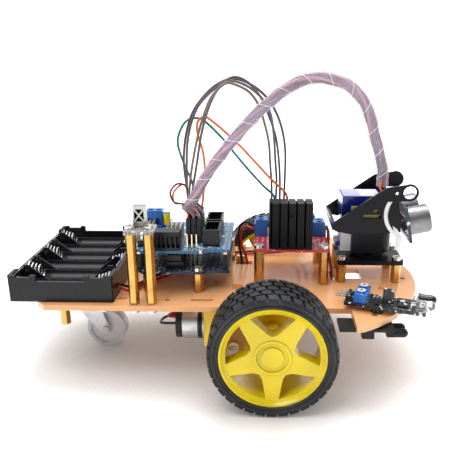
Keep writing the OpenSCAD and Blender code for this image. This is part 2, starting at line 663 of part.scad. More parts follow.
module rim() {
    web_in = tyre_out - 10;
    web_out = tyre_out - 2.4;
    difference() {
        union() {
            rotate_extrude($fn = 96) polygon([[rim_r - 2, tyre_in + 0.8], [rim_r, tyre_in + 0.8],
                [rim_r, tyre_out - 0.6], [rim_r - 1.1, tyre_out - 0.2], [rim_r - 2.2, tyre_out - 1.6],
                [rim_r - 3.4, tyre_out - 2.6], [rim_r - 3.4, tyre_out - 8]]);
            translate([0, 0, web_in]) linear_extrude(web_out - web_in) for (i = [0:spokes - 1])
                rotate([0, 0, 90 + i * 360 / spokes])
                    polygon([[6, -8.4], [12, -5.2], [rim_r - 1.5, -3],
                        [rim_r - 1.5, 3], [12, 5.2], [6, 8.4]]);
            translate([0, 0, web_in]) cylinder(r = 9.4, h = web_out - web_in + 0.6);
            translate([0, 0, hub_in]) cylinder(r = 5.8, h = web_in - hub_in + 1);
        }
        translate([0, 0, web_out - 0.4]) rotate_extrude() polygon([[5.6, 0], [8, 0], [8, 2], [5.6, 2]]);
        translate([0, 0, hub_in - 1]) linear_extrude(6.6) shaft_section();
    }
}

// Output shaft: round through the gear case, flattened where the hub grips it.
module axle() difference() {
    union() {
        translate([0, 0, 15.6]) cylinder(d = shaft_d, h = case_out + 0.3 - 15.6);
        translate([0, 0, case_out + 0.3]) linear_extrude(52.4 - case_out - 0.3) shaft_section();
    }
    translate([0, 0, 15]) cylinder(r = 0.9, h = 9);
}

module right_tyre() part("black") wheel(RIGHT) tyre();
module right_rim() part("yellow") wheel(RIGHT) rotate([0, 0, 180]) rim();
module right_axle() part("white") wheel(RIGHT) axle();
module left_tyre() part("black") wheel(LEFT) tyre();
module left_rim() part("yellow") wheel(LEFT) rim();
module left_axle() part("white") wheel(LEFT) axle();

// Caster.
kingpin_r = 3;
module caster_plate() part("silver") difference() {
    translate([swivel_x - 18, -20, caster_plate_z]) round_plate([36, 40], 3, caster_plate_t);
    bores(CASTER_POSTS, hole_r, caster_plate_z, caster_plate_z + caster_plate_t);
    bores([[swivel_x, 0]], kingpin_r + fit, caster_plate_z, caster_plate_z + caster_plate_t);
}

// Swivelling fork: a dished crown on the kingpin, two legs and the pin that carries the wheel.
module caster_fork() part("silver") {
    leg_y = caster_w / 2 + 0.6;
    leg_t = 1.4;
    translate([swivel_x, 0, 0]) {
        translate([0, 0, 29.6]) cylinder(r = 11, h = 1.6);
        translate([0, 0, 30]) cylinder(r = kingpin_r, h = 5.6);
        translate([0, 0, 34]) cylinder(r = 4.6, h = 1.6);
    }
    for (s = [-1, 1]) difference() {
        rotate([90, 0, 0]) translate([0, 0, s * (leg_y + leg_t / 2)]) linear_extrude(leg_t, center = true)
            polygon([[swivel_x - 6, 30], [swivel_x - 4, 24], [caster_x - 3.4, 11], [caster_x, 9],
                [caster_x + 3.4, 11], [swivel_x + 8, 26], [swivel_x + 8, 30]]);
        translate([caster_x, -20, caster_r]) rotate([-90, 0, 0]) cylinder(r = 1.2, h = 40);
    }
    translate([caster_x, -leg_y - leg_t - 1, caster_r]) rotate([-90, 0, 0]) {
        cylinder(r = 1.5, h = 2 * (leg_y + leg_t + 1));
        cylinder(r = 2.6, h = 1);
        translate([0, 0, 2 * (leg_y + leg_t) + 1]) cylinder(r = 2.6, h = 1);
    }
}

module caster_wheel() part("white") translate([caster_x, 0, caster_r]) rotate([90, 0, 0]) {
    rotate_extrude($fn = 72) polygon([[1.5 + fit, -caster_w / 2], [3.4, -caster_w / 2],
        [3.4, -caster_w / 2 + 1.4], [caster_r - 3, -caster_w / 2 + 1.4], [caster_r - 3, -caster_w / 2 + 0.4],
        [caster_r - 0.6, -caster_w / 2 + 0.8], [caster_r, -caster_w / 2 + 2.4],
        [caster_r, caster_w / 2 - 2.4],
        [caster_r - 0.6, caster_w / 2 - 0.8], [caster_r - 3, caster_w / 2 - 0.4],
        [caster_r - 3, caster_w / 2 - 1.4], [3.4, caster_w / 2 - 1.4], [3.4, caster_w / 2],
        [1.5 + fit, caster_w / 2]]);
}

// Obstacle sensor on the right wing, drawn along its own long side.
module on_obstacle(z = 0) translate(obstacle_at + [0, 0, z]) rotate([0, 0, obstacle_turn]) children();

module obstacle_board() part("black") {
    on_obstacle() difference() {
        round_plate([obstacle_l, obstacle_w], 0.8, board_t);
        translate([17, 3, -1]) cylinder(r = hole_r, h = 4);
    }
    on_obstacle(board_t) {
        block([0.4, 3, 0], [3, 13.2, 2.4]);
        block([19, 6, 0], [24.6, 8.6, 7.5]);
        block([27, 3, 0], [32, 7, 1.6]);
        for (i = [0:2])
            block([25.6 + i * 2.4, 10 - i % 2 * 1.2, 0], [27.2 + i * 2.4, 11.2 - i % 2 * 1.2, 0.8]);
    }
    on_obstacle(-2.5) translate([17, 3, 0]) difference() {
        cylinder(d = 5.5 / cos(30), h = 2.5, $fn = 6);
        translate([0, 0, -1]) cylinder(r = thread_r, h = 5);
    }
}

// Emitter and receiver lamps bent forward off the board's front edge.
module obstacle_leds() part("lightgray") on_obstacle(board_t + 3) {
    for (y = [4, 12]) {
        translate([36.6, y, 0]) rotate([0, 90, 0]) cylinder(r = 2.5, h = 6);
        translate([42.6, y, 0]) sphere(r = 2.5);
        translate([35.8, y, 0]) rotate([0, 90, 0]) cylinder(r = 2.9, h = 1);
        for (d = [-1.27, 1.27]) block([34, y + d - 0.3, -0.3], [36, y + d + 0.3, 0.3]);
        for (d = [-1.27, 1.27]) block([33.4, y + d - 0.3, -3], [34, y + d + 0.3, 0.3]);
    }
    for (i = [0:3]) block([-5, 4.2 + i * pin_pitch, -1.9], [0.4, 4.8 + i * pin_pitch, -1.3]);
}

module obstacle_trimmers() part("royalblue") on_obstacle(board_t) for (y = [4.4, 11.8])
    difference() {
        union() {
            block([5, y - 3.2, 0], [11.4, y + 3.2, 4.8]);
            translate([8.2, y, 4.8]) cylinder(r = 2.3, h = 1.4);
        }
        translate([6.6, y - 0.4, 5.5]) cube([3.2, 0.8, 1]);
    }

// Line sensor hung under the right wing, looking down.
module line_sensor() part("darkslategray") {
    eye_z = 40.6;
    difference() {
        union() {
            block([33.6, -65, 42.4], [61, -52, 44]);
            for (y = [-61.5, -55.5]) {
                block([57.5, y - 2, 39], [61.5, y + 2, 42.4]);
                translate([61, y, eye_z]) rotate([0, 90, 0]) cylinder(r = 2.3, h = 5);
                translate([66, y, eye_z]) sphere(r = 2.3);
            }
            block([45, -64.5, 38.4], [51, -60.5, 42.4]);
        }
        translate([52, -57.4, 40]) cylinder(r = hole_r, h = 6);
    }
    translate([52, -57.4, 44]) difference() {
        cylinder(d = 5.5 / cos(30), h = deck_under - 44, $fn = 6);
        translate([0, 0, -1]) cylinder(r = thread_r, h = 4);
    }
}

// Pan and tilt head.
module pan_base() part("black") difference() {
    translate([37.8, -15, base_z]) round_plate([37.5, 30], 2, base_t);
    bores(PAN_HOLES, hole_r, base_z, horn_z);
    translate([pan_x, 0, base_z - 1]) cylinder(r = 2.4, h = base_t + 2);
    for (y = [-11, 11]) translate([pan_x - 5, y - 0.8, base_z - 1]) cube([10, 1.6, base_t + 2]);
}

// The fixed horn on the base and the servo's output shaft, about which the head turns.
module pan_horn() part("white") translate([pan_x, 0, horn_z]) {
    difference() {
        cylinder(r = 10, h = 1.2);
        for (a = [0:60:300]) rotate([0, 0, a]) translate([7, 0, -1]) cylinder(r = 0.8, h = 4);
    }
    cylinder(r = 3.6, h = 1.7);
    cylinder(r = 2.3, h = 8);
}

// Servo case with its mounting ears and gear tower; its shaft is along +Z at the origin.
module servo(tower_h, bore_r) {
    difference() {
        union() {
            block([-servo_back, -servo_w / 2, tower_h],
                [servo_l - servo_back, servo_w / 2, tower_h + servo_h]);
            cylinder(r = 5.9, h = tower_h + 1);
            block([-servo_back - 2.6, -servo_w / 2, tower_h + 4],
                [servo_l - servo_back + 2.6, servo_w / 2, tower_h + 6.5]);
        }
        translate([0, 0, -1]) cylinder(r = bore_r, h = 9);
        for (x = [-servo_back - 1.6, servo_l - servo_back + 1.6]) translate([x, 0, 0])
            cylinder(r = 0.8, h = 40);
    }
}

module pan_servo() part("royalblue") translate([pan_x, 0, pan_body_z]) servo(0.2, 2.3 + fit);

// Two clamped halves that grip the pan servo and carry the tilt servo on top.
module servo_holder() part("black") difference() {
    union() {
        block([46, -9, pan_body_z + 0.2], [64, 9, 86.2]);
        translate([62.5, 0, pan_body_z + 0.2]) cylinder(r = 7, h = 11.6);
        block([39.2, -10.4, 85.9], [64.6, 11.5, 86.2]);
        for (y = [-10.4, 9.9]) block([39.2, y, 86.2], [64.6, y + 1.6, 90]);
    }
    block([30, -servo_w / 2, pan_body_z - 1],
        [servo_l - servo_back + pan_x, servo_w / 2, pan_body_z + 22.2]);
    block([30, -servo_w / 2, pan_body_z + 4.2],
        [servo_l - servo_back + pan_x + 2.6, servo_w / 2, pan_body_z + 6.7]);
    block([38, -8.8, 86.2], [65, 9.9, 99]);
    translate([pan_x, -13, tilt_z]) rotate([-90, 0, 0]) cylinder(r = 6, h = 8);
    translate([pan_x, 8, tilt_z]) rotate([-90, 0, 0]) cylinder(r = 2.6, h = 8);
    translate([pan_x, 0, 60]) cylinder(r = 6, h = 5);
}

module tilt_servo() part("royalblue") translate([pan_x, 0, tilt_z]) difference() {
    union() {
        block([-servo_back, -8.8, -6.1], [servo_l - servo_back, 9.9, 6.1]);
        translate([0, -12.4, 0]) rotate([-90, 0, 0]) cylinder(r = 5.9, h = 5);
        translate([0, 9.9, 0]) rotate([-90, 0, 0]) cylinder(r = 2.4, h = 6.5);
    }
    translate([0, -13, 0]) rotate([-90, 0, 0]) cylinder(r = 2.3 + fit, h = 8);
}

// Outline of one arm seen from the side, and the lug at its top.
module arm_outline(ring) difference() {
    union() {
        polygon([[34.9, 80.9], [45, 79], [70, 80.4], [71.5, 84], [68.6, 98], [74.5, 98.2], [74.5, 107.4],
            [62.4, 105.6], [60.6, 104.6], [33.5, 85.6], [33.5, 83.2]]);
        translate([74.5, 102.8]) circle(r = 4.7);
    }
    if (ring) translate([74.5, 102.8]) circle(r = 3.6);
    translate([67.6, 102.4]) circle(r = 0.9);
    if (ring) translate([50, 88.4]) square([9.5, 2.2]);
}

module tilt_bracket() part("black") {
    for (s = [-1, 1]) difference() {
        translate([0, s * (arm_in + arm_t / 2), 0]) rotate([90, 0, 0])
            linear_extrude(arm_t, center = true) arm_outline(s < 0);
        translate([pan_x, 0, tilt_z]) rotate([-90, 0, 0]) translate([0, 0, s * arm_in - 5])
            cylinder(r = s < 0 ? 1.3 : 2.4 + fit, h = 10);
    }
    block([33.6, -arm_in, 81.2], [35.1, arm_in, 85.6]);
    translate([71.4, 0, 80.2]) rotate([0, -sonar_tilt, 0]) difference() {
        block([-1.4, -arm_in, 0], [0, arm_in, 15.5]);
        translate([-2, -7, 4]) cube([3, 14, 7]);
    }
}

// Horn in the right arm with the tilt servo's output shaft.
module tilt_horn() part("white") translate([pan_x, 0, tilt_z]) rotate([90, 0, 0]) {
    translate([0, 0, 6]) cylinder(r = 2.3, h = 11);
    translate([0, 0, 13]) cylinder(r = 3.5, h = arm_in - 13);
    difference() {
        translate([-13, -4.2, arm_in - 1.5]) cube([15, 6.6, 1.5]);
        for (x = [-11.5, -8.5]) translate([x, 0, 10]) cylinder(r = 0.5, h = 10);
    }
}

// Distance sensor: z runs up along the tilted board and x points forward.
module on_sonar() translate([sonar_bottom[0], 0, sonar_bottom[1]]) rotate([0, -sonar_tilt, 0]) children();

module ultrasonic_board() part("royalblue") on_sonar() {
    difference() {
        block([0, -sonar_w / 2, 0], [board_t, sonar_w / 2, 20]);
        for (y = [-1, 1], z = [2, 18]) translate([-1, y * (sonar_w / 2 - 2), z]) rotate([0, 90, 0])
            cylinder(r = 0.7, h = 4);
    }
    block([-1.8, -4, 8], [0, 4, 12]);
    block([-1.8, 8, 5], [0, 14, 9]);
    block([-1.8, -14, 5], [0, -8, 9]);
    block([board_t, -5.2, 0], [board_t + 2.5, 5.2, 2.4]);
    translate([board_t, -5, 16]) rotate([0, 90, 0]) cylinder(r = 1.6, h = 3);
}

module ultrasonic_eyes() part("silver") on_sonar() for (y = [-eye_y, eye_y])
    translate([board_t, y, 9.6]) rotate([0, 90, 0]) difference() {
        union() {
            cylinder(r = eye_r, h = eye_h - 0.8);
            cylinder(r = eye_r - 0.5, h = eye_h);
        }
        translate([0, 0, eye_h - 1.4]) cylinder(r = eye_r - 1.5, h = 3);
    }

// Nylon tie that straps the sensor to the right arm, with its tail hanging down.
module cable_tie() part("white") translate([0, -(arm_in + arm_t), 0]) rotate([90, 0, 0]) {
    linear_extrude(1) difference() {
        translate([76, 91]) circle(r = 15);
        translate([76, 91]) circle(r = 13);
        translate([71.5, 70]) square([30, 40]);
        translate([50, 98]) square([40, 20]);
    }
    linear_extrude(1) polygon([[66.2, 84.4], [68.6, 82.6], [72, 78], [70.8, 71.5], [68, 70.5], [68.6, 76]]);
}

// Cords.
module cable_bundle() part("thistle") tube(ROUTE_BUNDLE, bundle_d, sides = 12);
module jumper_brown() part("saddlebrown") tube(ROUTE_BROWN, wire_d);
module jumper_purple() part("purple") tube(ROUTE_PURPLE, wire_d);
module jumper_grey() part("gray") tube(ROUTE_GREY, wire_d);
module jumper_white() part("tan") tube(ROUTE_WHITE, wire_d);
module jumper_green() part("seagreen") tube(ROUTE_GREEN, wire_d);
module jumper_orange() part("tomato") tube(ROUTE_ORANGE, wire_d);
module driver_lead_red() part("red") tube(ROUTE_DRIVER_RED, lead_d, [0.2, 1, 0.1]);
module driver_lead_black() part("black") tube(ROUTE_DRIVER_BLACK, lead_d, [0.2, 1, 0.1]);
module battery_lead_red() part("red") tube(ROUTE_BATTERY_RED, lead_d, [1, -1, 0.3]);
module battery_lead_black() part("black") tube(ROUTE_BATTERY_BLACK, lead_d, [1, -1, 0.3]);

deck();
battery_holder();
battery_contacts();
controller_board();
controller_connectors();
controller_parts();
short_standoffs();
driver_standoffs();
receiver_standoffs();
screws();
shield_board();
shield_pins();
shield_headers();
shield_terminal();
reset_button();
jumper_plugs();
receiver_board();
receiver_cage();
driver_board();
heat_sink();
driver_parts();
driver_terminals();
pan_base();
pan_horn();
right_gear_case();
left_gear_case();
motor_cans();
motor_brackets();
caster_plate();
obstacle_board();
obstacle_leds();
obstacle_trimmers();
line_sensor();
right_tyre();
right_rim();
right_axle();
left_tyre();
left_rim();
left_axle();
caster_fork();
caster_wheel();
servo_holder();
pan_servo();
tilt_servo();
tilt_bracket();
tilt_horn();
ultrasonic_board();
ultrasonic_eyes();
cable_tie();
cable_bundle();
jumper_brown();
jumper_purple();
jumper_grey();
jumper_white();
jumper_green();
jumper_orange();
driver_lead_red();
driver_lead_black();
battery_lead_red();
battery_lead_black();
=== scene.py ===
"""Looks for the two wheel robot car: materials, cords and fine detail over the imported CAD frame."""

import json
import math

import bmesh
import bpy
from mathutils import Matrix, Vector


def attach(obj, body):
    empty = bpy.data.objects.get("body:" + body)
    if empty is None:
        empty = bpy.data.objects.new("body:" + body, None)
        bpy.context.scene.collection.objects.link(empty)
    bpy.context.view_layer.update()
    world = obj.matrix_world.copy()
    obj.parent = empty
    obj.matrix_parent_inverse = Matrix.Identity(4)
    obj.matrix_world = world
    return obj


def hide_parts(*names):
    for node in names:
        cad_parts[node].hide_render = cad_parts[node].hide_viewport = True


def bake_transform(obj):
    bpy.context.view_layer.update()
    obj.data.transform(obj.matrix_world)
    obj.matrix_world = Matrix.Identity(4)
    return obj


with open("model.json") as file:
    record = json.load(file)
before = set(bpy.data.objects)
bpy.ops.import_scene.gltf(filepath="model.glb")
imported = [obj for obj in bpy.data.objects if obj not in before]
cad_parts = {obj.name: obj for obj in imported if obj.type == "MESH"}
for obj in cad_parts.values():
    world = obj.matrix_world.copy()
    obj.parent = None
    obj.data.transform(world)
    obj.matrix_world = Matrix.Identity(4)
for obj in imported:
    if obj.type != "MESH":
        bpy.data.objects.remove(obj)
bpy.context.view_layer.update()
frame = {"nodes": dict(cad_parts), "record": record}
NODES = frame["nodes"]
SLOTS = {m["slot"] for m in frame["record"]["materials"]}
SLOT_OF = {s["node"]: s["material_slot"] for s in frame["record"]["subparts"]}

MM = 0.001
AXLE_X = 26.9  # the wheel axle stands this far in front of the middle of the car, in mm
WHEEL_R = 33.0
TYRE_IN, TYRE_OUT = 51.6, 77.6
RIM_R = 26.9
BUNDLE_D = 7.0
WIRE_D = 1.4
LEAD_D = 1.6
SHIELD_TOP, DRIVER_TOP, RECEIVER_TOP = 73.2, 70.1, 90.1  # upper faces of the boards
PIN_PITCH = 2.54
MOTOR_Y = 34.0
OBSTACLE_CORNER, OBSTACLE_TURN = (36.7, -50.9, 51.0), -20  # mm, and degrees about z
SONAR_FOOT, SONAR_LEAN = (75.6, 0, 75.3), -12  # mm, and degrees about y
CAMERA_PLACE = (-4.9, -330.6, 177.3)
CAMERA_ANGLES = (2.71, 17.76, -0.53)  # yaw, pitch and roll, in degrees


def at(x, y, z):
    """A point measured in millimetres from the wheel axle, in metres in the row's frame."""
    return Vector(((x + AXLE_X) * MM, y * MM, z * MM))


# ---------------------------------------------------------------- camera and studio


def make_camera():
    """Camera low in front of the car's right side, at the photograph's angle."""
    data = bpy.data.cameras.new("camera")
    data.lens = 44.3
    data.sensor_width = 36.0
    data.clip_start, data.clip_end = 0.01, 20.0
    camera = bpy.data.objects.new("camera", data)
    bpy.context.scene.collection.objects.link(camera)
    yaw, pitch, roll = (math.radians(a) for a in CAMERA_ANGLES)
    turn = Matrix.Rotation(yaw, 4, "Z") @ Matrix.Rotation(math.pi / 2 - pitch, 4, "X")
    place = Matrix.Translation(at(*CAMERA_PLACE))
    camera.matrix_world = place @ turn @ Matrix.Rotation(roll, 4, "Z")
    bpy.context.scene.camera = camera


def area_light(name, place, target, size, power, colour=(1, 1, 1)):
    data = bpy.data.lights.new(name, "AREA")
    data.shape, data.size, data.energy, data.color = "SQUARE", size, power, colour
    light = bpy.data.objects.new(name, data)
    bpy.context.scene.collection.objects.link(light)
    light.location = place
    light.rotation_euler = (Vector(target) - Vector(place)).to_track_quat("-Z", "Y").to_euler()


def make_studio():
    """White room, darker above the camera's side, with a key, an overhead and a rim lamp."""
    world = bpy.data.worlds.new("studio")
    world.use_nodes = True
    tree = world.node_tree
    parts = tree.nodes.new("ShaderNodeSeparateXYZ")
    tree.links.new(tree.nodes.new("ShaderNodeTexCoord").outputs["Generated"], parts.inputs["Vector"])
    near = node(tree, "ShaderNodeMapRange", {"Value": parts.outputs["Y"]}, From_Min=0.3, From_Max=-0.55)
    above = node(tree, "ShaderNodeMapRange", {"Value": parts.outputs["Z"]}, From_Min=0.22, From_Max=0.4)
    both = node(tree, "ShaderNodeMath", {0: near.outputs["Result"], 1: above.outputs["Result"]})
    both.operation = "MULTIPLY"
    dim = node(tree, "ShaderNodeMapRange", {"Value": both.outputs["Value"]}, To_Min=1.03, To_Max=0.15)
    tree.nodes["Background"].inputs["Color"].default_value = (1, 1, 1, 1)
    tree.links.new(dim.outputs["Result"], tree.nodes["Background"].inputs["Strength"])
    bpy.context.scene.world = world
    bpy.context.scene.view_settings.view_transform = "Standard"
    area_light("key", (-0.35, -0.45, 0.9), (0.0, 0.0, 0.05), 0.5, 6.0)
    area_light("top", (0.1, 0.25, 1.0), (0.0, 0.0, 0.0), 0.7, 9.0)
    area_light("rim", (0.8, 0.5, 0.5), (0.0, 0.0, 0.06), 0.4, 2.5)
    bpy.ops.mesh.primitive_plane_add(size=12, location=(0, 0, -0.00005))
    floor = bpy.context.object
    floor.name = "studio_floor"
    floor.data.materials.append(floor_paper())


def floor_paper():
    """White paper, lit a little from within, with a painted contact shadow: its colour and glow go dark
    grey-brown close to what stands on it.
    """
    material, tree, shader, place = blank("floor_paper")
    mottle = blend_colours(tree, speckle(tree, place, 0.02), (0.9, 0.9, 0.9, 1), (0.93, 0.93, 0.93, 1))
    shade = node(tree, "ShaderNodeAmbientOcclusion", Distance=0.09)
    shade.samples = 8
    painted_shadow_mask = node(tree, "ShaderNodeMath", {0: shade.outputs["AO"]})
    painted_shadow_mask.operation = "POWER"
    painted_shadow_mask.inputs[1].default_value = 1.5
    # Painted shadow: colour and emission fall to a dark grey-brown where ambient occlusion finds something
    # close.
    tint = blend_colours(tree, painted_shadow_mask.outputs["Value"], (0.26, 0.23, 0.215, 1), mottle, 0.0, 1.0)
    tree.links.new(tint, shader.inputs["Base Color"])
    tree.links.new(tint, shader.inputs["Emission Color"])
    put(shader, Emission_Strength=0.5, Roughness=0.6, Specular_IOR_Level=0.1)
    relief(tree, shader, speckle(tree, place, 0.002), 0.02, 0.00005, 0)
    return material


# ---------------------------------------------------------------- materials


def put(shader, **values):
    """Sets input sockets by their names, with underscores for the spaces."""
    for name, value in values.items():
        shader.inputs[name.replace("_", " ")].default_value = value


def node(tree, kind, links=None, **values):
    """One shader node; values set its input sockets, and links gives the output that feeds each socket."""
    made = tree.nodes.new(kind)
    put(made, **values)
    for socket, output in (links or {}).items():
        tree.links.new(output, made.inputs[socket])
    return made


def shaded(colour, factor):
    return tuple(min(1.0, c * factor) for c in colour) + (1.0,)


def blank(name):
    """A material with its Principled shader, and the object coordinates that its textures use."""
    material = bpy.data.materials.new(name)
    material.use_nodes = True
    tree = material.node_tree
    place = tree.nodes.new("ShaderNodeTexCoord").outputs["Object"]
    return material, tree, tree.nodes["Principled BSDF"], place


def speckle(tree, place, size, detail=3.0):
    """Noise whose features are about size metres across."""
    made = node(tree, "ShaderNodeTexNoise", {"Vector": place}, Scale=0.6 / size, Detail=detail)
    return made.outputs["Fac"]


def blend_colours(tree, factor, first, second, low=0.35, high=0.65):
    """Two colours mixed by a factor that is first stretched between low and high."""
    stretch = node(tree, "ShaderNodeMapRange", {"Value": factor}, From_Min=low, From_Max=high)
    mix = tree.nodes.new("ShaderNodeMix")
    mix.data_type = "RGBA"
    tree.links.new(stretch.outputs["Result"], mix.inputs["Factor"])
    for socket, value in ((mix.inputs[6], first), (mix.inputs[7], second)):
        if isinstance(value, tuple):
            socket.default_value = value
        else:
            tree.links.new(value, socket)
    return mix.outputs[2]


def relief(tree, shader, height, strength, depth, edge):
    """Bump from a height, over edges that are softened to radius edge."""
    links = {"Height": height}
    if edge:
        soft = node(tree, "ShaderNodeBevel", Radius=edge)
        soft.samples = 4
        links["Normal"] = soft.outputs["Normal"]
    bump = node(tree, "ShaderNodeBump", links, Strength=strength, Distance=depth)
    tree.links.new(bump.outputs["Normal"], shader.inputs["Normal"])


def moulded(name, colour, rough, grain=0.0004, bump=0.12, edge=0.0003, coat=0.0, clear=0.0,
        glow=0.0, shine=0.35):
    """Moulded or coated plastic: mottled colour, uneven polish and a fine moulded grain."""
    material, tree, shader, place = blank(name)
    cloud = speckle(tree, place, 0.012)
    fine = speckle(tree, place, grain, 5.0)
    tint = blend_colours(tree, cloud, shaded(colour, 0.9), shaded(colour, 1.1))
    tree.links.new(tint, shader.inputs["Base Color"])
    polish = node(tree, "ShaderNodeMapRange", {"Value": fine}, To_Min=rough * 0.8, To_Max=rough * 1.25)
    tree.links.new(polish.outputs["Result"], shader.inputs["Roughness"])
    put(shader, Coat_Weight=coat, Coat_Roughness=0.08, Transmission_Weight=clear, Specular_IOR_Level=shine)
    if glow:
        put(shader, Subsurface_Weight=glow, Subsurface_Radius=(0.004, 0.003, 0.002), Subsurface_Scale=0.5)
    relief(tree, shader, fine, bump, 0.00005, edge)
    return material


def metal(name, colour, rough, stretch=(1, 1, 12), edge=0.0002, dull=(0.6, 0.6, 0.6)):
    """Metal with drawn streaks along one axis, and slightly dulled patches."""
    material, tree, shader, place = blank(name)
    put(shader, Metallic=1.0)
    squeeze = node(tree, "ShaderNodeMapping", {"Vector": place}, Scale=tuple(1.0 / s for s in stretch))
    streak = speckle(tree, squeeze.outputs["Vector"], 0.0003, 4.0)
    patch = speckle(tree, place, 0.006)
    worn = tuple(c * d for c, d in zip(colour, dull)) + (1.0,)
    tint = blend_colours(tree, patch, shaded(colour, 1.0), worn, 0.45, 0.8)
    tree.links.new(tint, shader.inputs["Base Color"])
    polish = node(tree, "ShaderNodeMapRange", {"Value": streak}, To_Min=rough * 0.7, To_Max=rough * 1.4)
    tree.links.new(polish.outputs["Result"], shader.inputs["Roughness"])
    relief(tree, shader, streak, 0.1, 0.00003, edge)
    return material


def circuit(name, mask, trace, legend, rough=0.28):
    """Circuit board: solder mask over raised traces, with tinned pads and small legend marks."""
    material, tree, shader, place = blank(name)
    lines = node(tree, "ShaderNodeTexBrick", {"Vector": place}, Scale=220.0, Mortar_Size=0.06,
        Mortar_Smooth=0.2, Color1=shaded(mask, 1.0), Color2=shaded(mask, 0.82), Mortar=shaded(trace, 1.0))
    dots = node(tree, "ShaderNodeTexVoronoi", {"Vector": place}, Scale=330.0, Randomness=0.25)
    pads = dots.outputs["Distance"]
    marks = speckle(tree, place, 0.0016, 0.0)
    base = blend_colours(tree, pads, shaded((0.62, 0.60, 0.52), 1.0), lines.outputs["Color"], 0.16, 0.2)
    base = blend_colours(tree, marks, base, shaded(legend, 1.0), 0.7, 0.73)
    tree.links.new(base, shader.inputs["Base Color"])
    put(shader, Roughness=rough, Specular_IOR_Level=0.25, Coat_Weight=0.12)
    relief(tree, shader, pads, 0.25, 0.0001, 0.0001)
    return material


def acrylic(name, colour):
    """Tinted acrylic sheet: polished faces with faint scratches, lit from within at its edges."""
    material, tree, shader, place = blank(name)
    cloud = speckle(tree, place, 0.05)
    scratch = speckle(tree, place, 0.0008, 8.0)
    tint = blend_colours(tree, cloud, shaded(colour, 0.94), shaded(colour, 1.06))
    tree.links.new(tint, shader.inputs["Base Color"])
    polish = node(tree, "ShaderNodeMapRange", {"Value": scratch}, To_Min=0.08, To_Max=0.3)
    tree.links.new(polish.outputs["Result"], shader.inputs["Roughness"])
    put(shader, IOR=1.49, Transmission_Weight=0.22)
    put(shader, Subsurface_Weight=0.45, Subsurface_Radius=(0.008, 0.004, 0.002), Subsurface_Scale=0.6)
    relief(tree, shader, scratch, 0.04, 0.00003, 0.0003)
    return material


def rubber(name):
    """Tyre rubber: charcoal, dusty in patches, with a fine matt grain."""
    material, tree, shader, place = blank(name)
    dust = speckle(tree, place, 0.009, 6.0)
    fine = speckle(tree, place, 0.0003, 4.0)
    tint = blend_colours(tree, dust, (0.009, 0.009, 0.011, 1), (0.030, 0.032, 0.036, 1), 0.4, 0.75)
    tree.links.new(tint, shader.inputs["Base Color"])
    polish = node(tree, "ShaderNodeMapRange", {"Value": dust}, To_Min=0.32, To_Max=0.6)
    tree.links.new(polish.outputs["Result"], shader.inputs["Roughness"])
    put(shader, Specular_IOR_Level=0.32)
    relief(tree, shader, fine, 0.25, 0.00008, 0)
    return material


def film(name, colour, opacity):
    """Thin translucent plastic: partly see-through, glossy, brighter where it is creased."""
    material, tree, shader, place = blank(name)
    crease = speckle(tree, place, 0.003, 4.0)
    tint = blend_colours(tree, crease, shaded(colour, 0.85), shaded(colour, 1.15))
    tree.links.new(tint, shader.inputs["Base Color"])
    put(shader, Roughness=0.2)
    cover = node(tree, "ShaderNodeMapRange", {"Value": crease}, To_Min=opacity * 0.75,
        To_Max=min(1, opacity * 1.3))
    tree.links.new(cover.outputs["Result"], shader.inputs["Alpha"])
    relief(tree, shader, crease, 0.3, 0.0002, 0)
    return material


def wire_mesh(name):
    """Fine woven grille over a dark throat."""
    material, tree, shader, place = blank(name)
    flat = node(tree, "ShaderNodeMapping", {"Vector": place}, Scale=(0.0, 1.0, 1.0))
    holes = node(tree, "ShaderNodeTexVoronoi", {"Vector": flat.outputs["Vector"]}, Scale=900.0, Randomness=0.0)
    weave = holes.outputs["Distance"]
    tint = blend_colours(tree, weave, (0.02, 0.02, 0.022, 1), (0.42, 0.42, 0.42, 1), 0.35, 0.55)
    tree.links.new(tint, shader.inputs["Base Color"])
    put(shader, Metallic=0.7, Roughness=0.4)
    relief(tree, shader, weave, 0.5, 0.0002, 0)
    return material


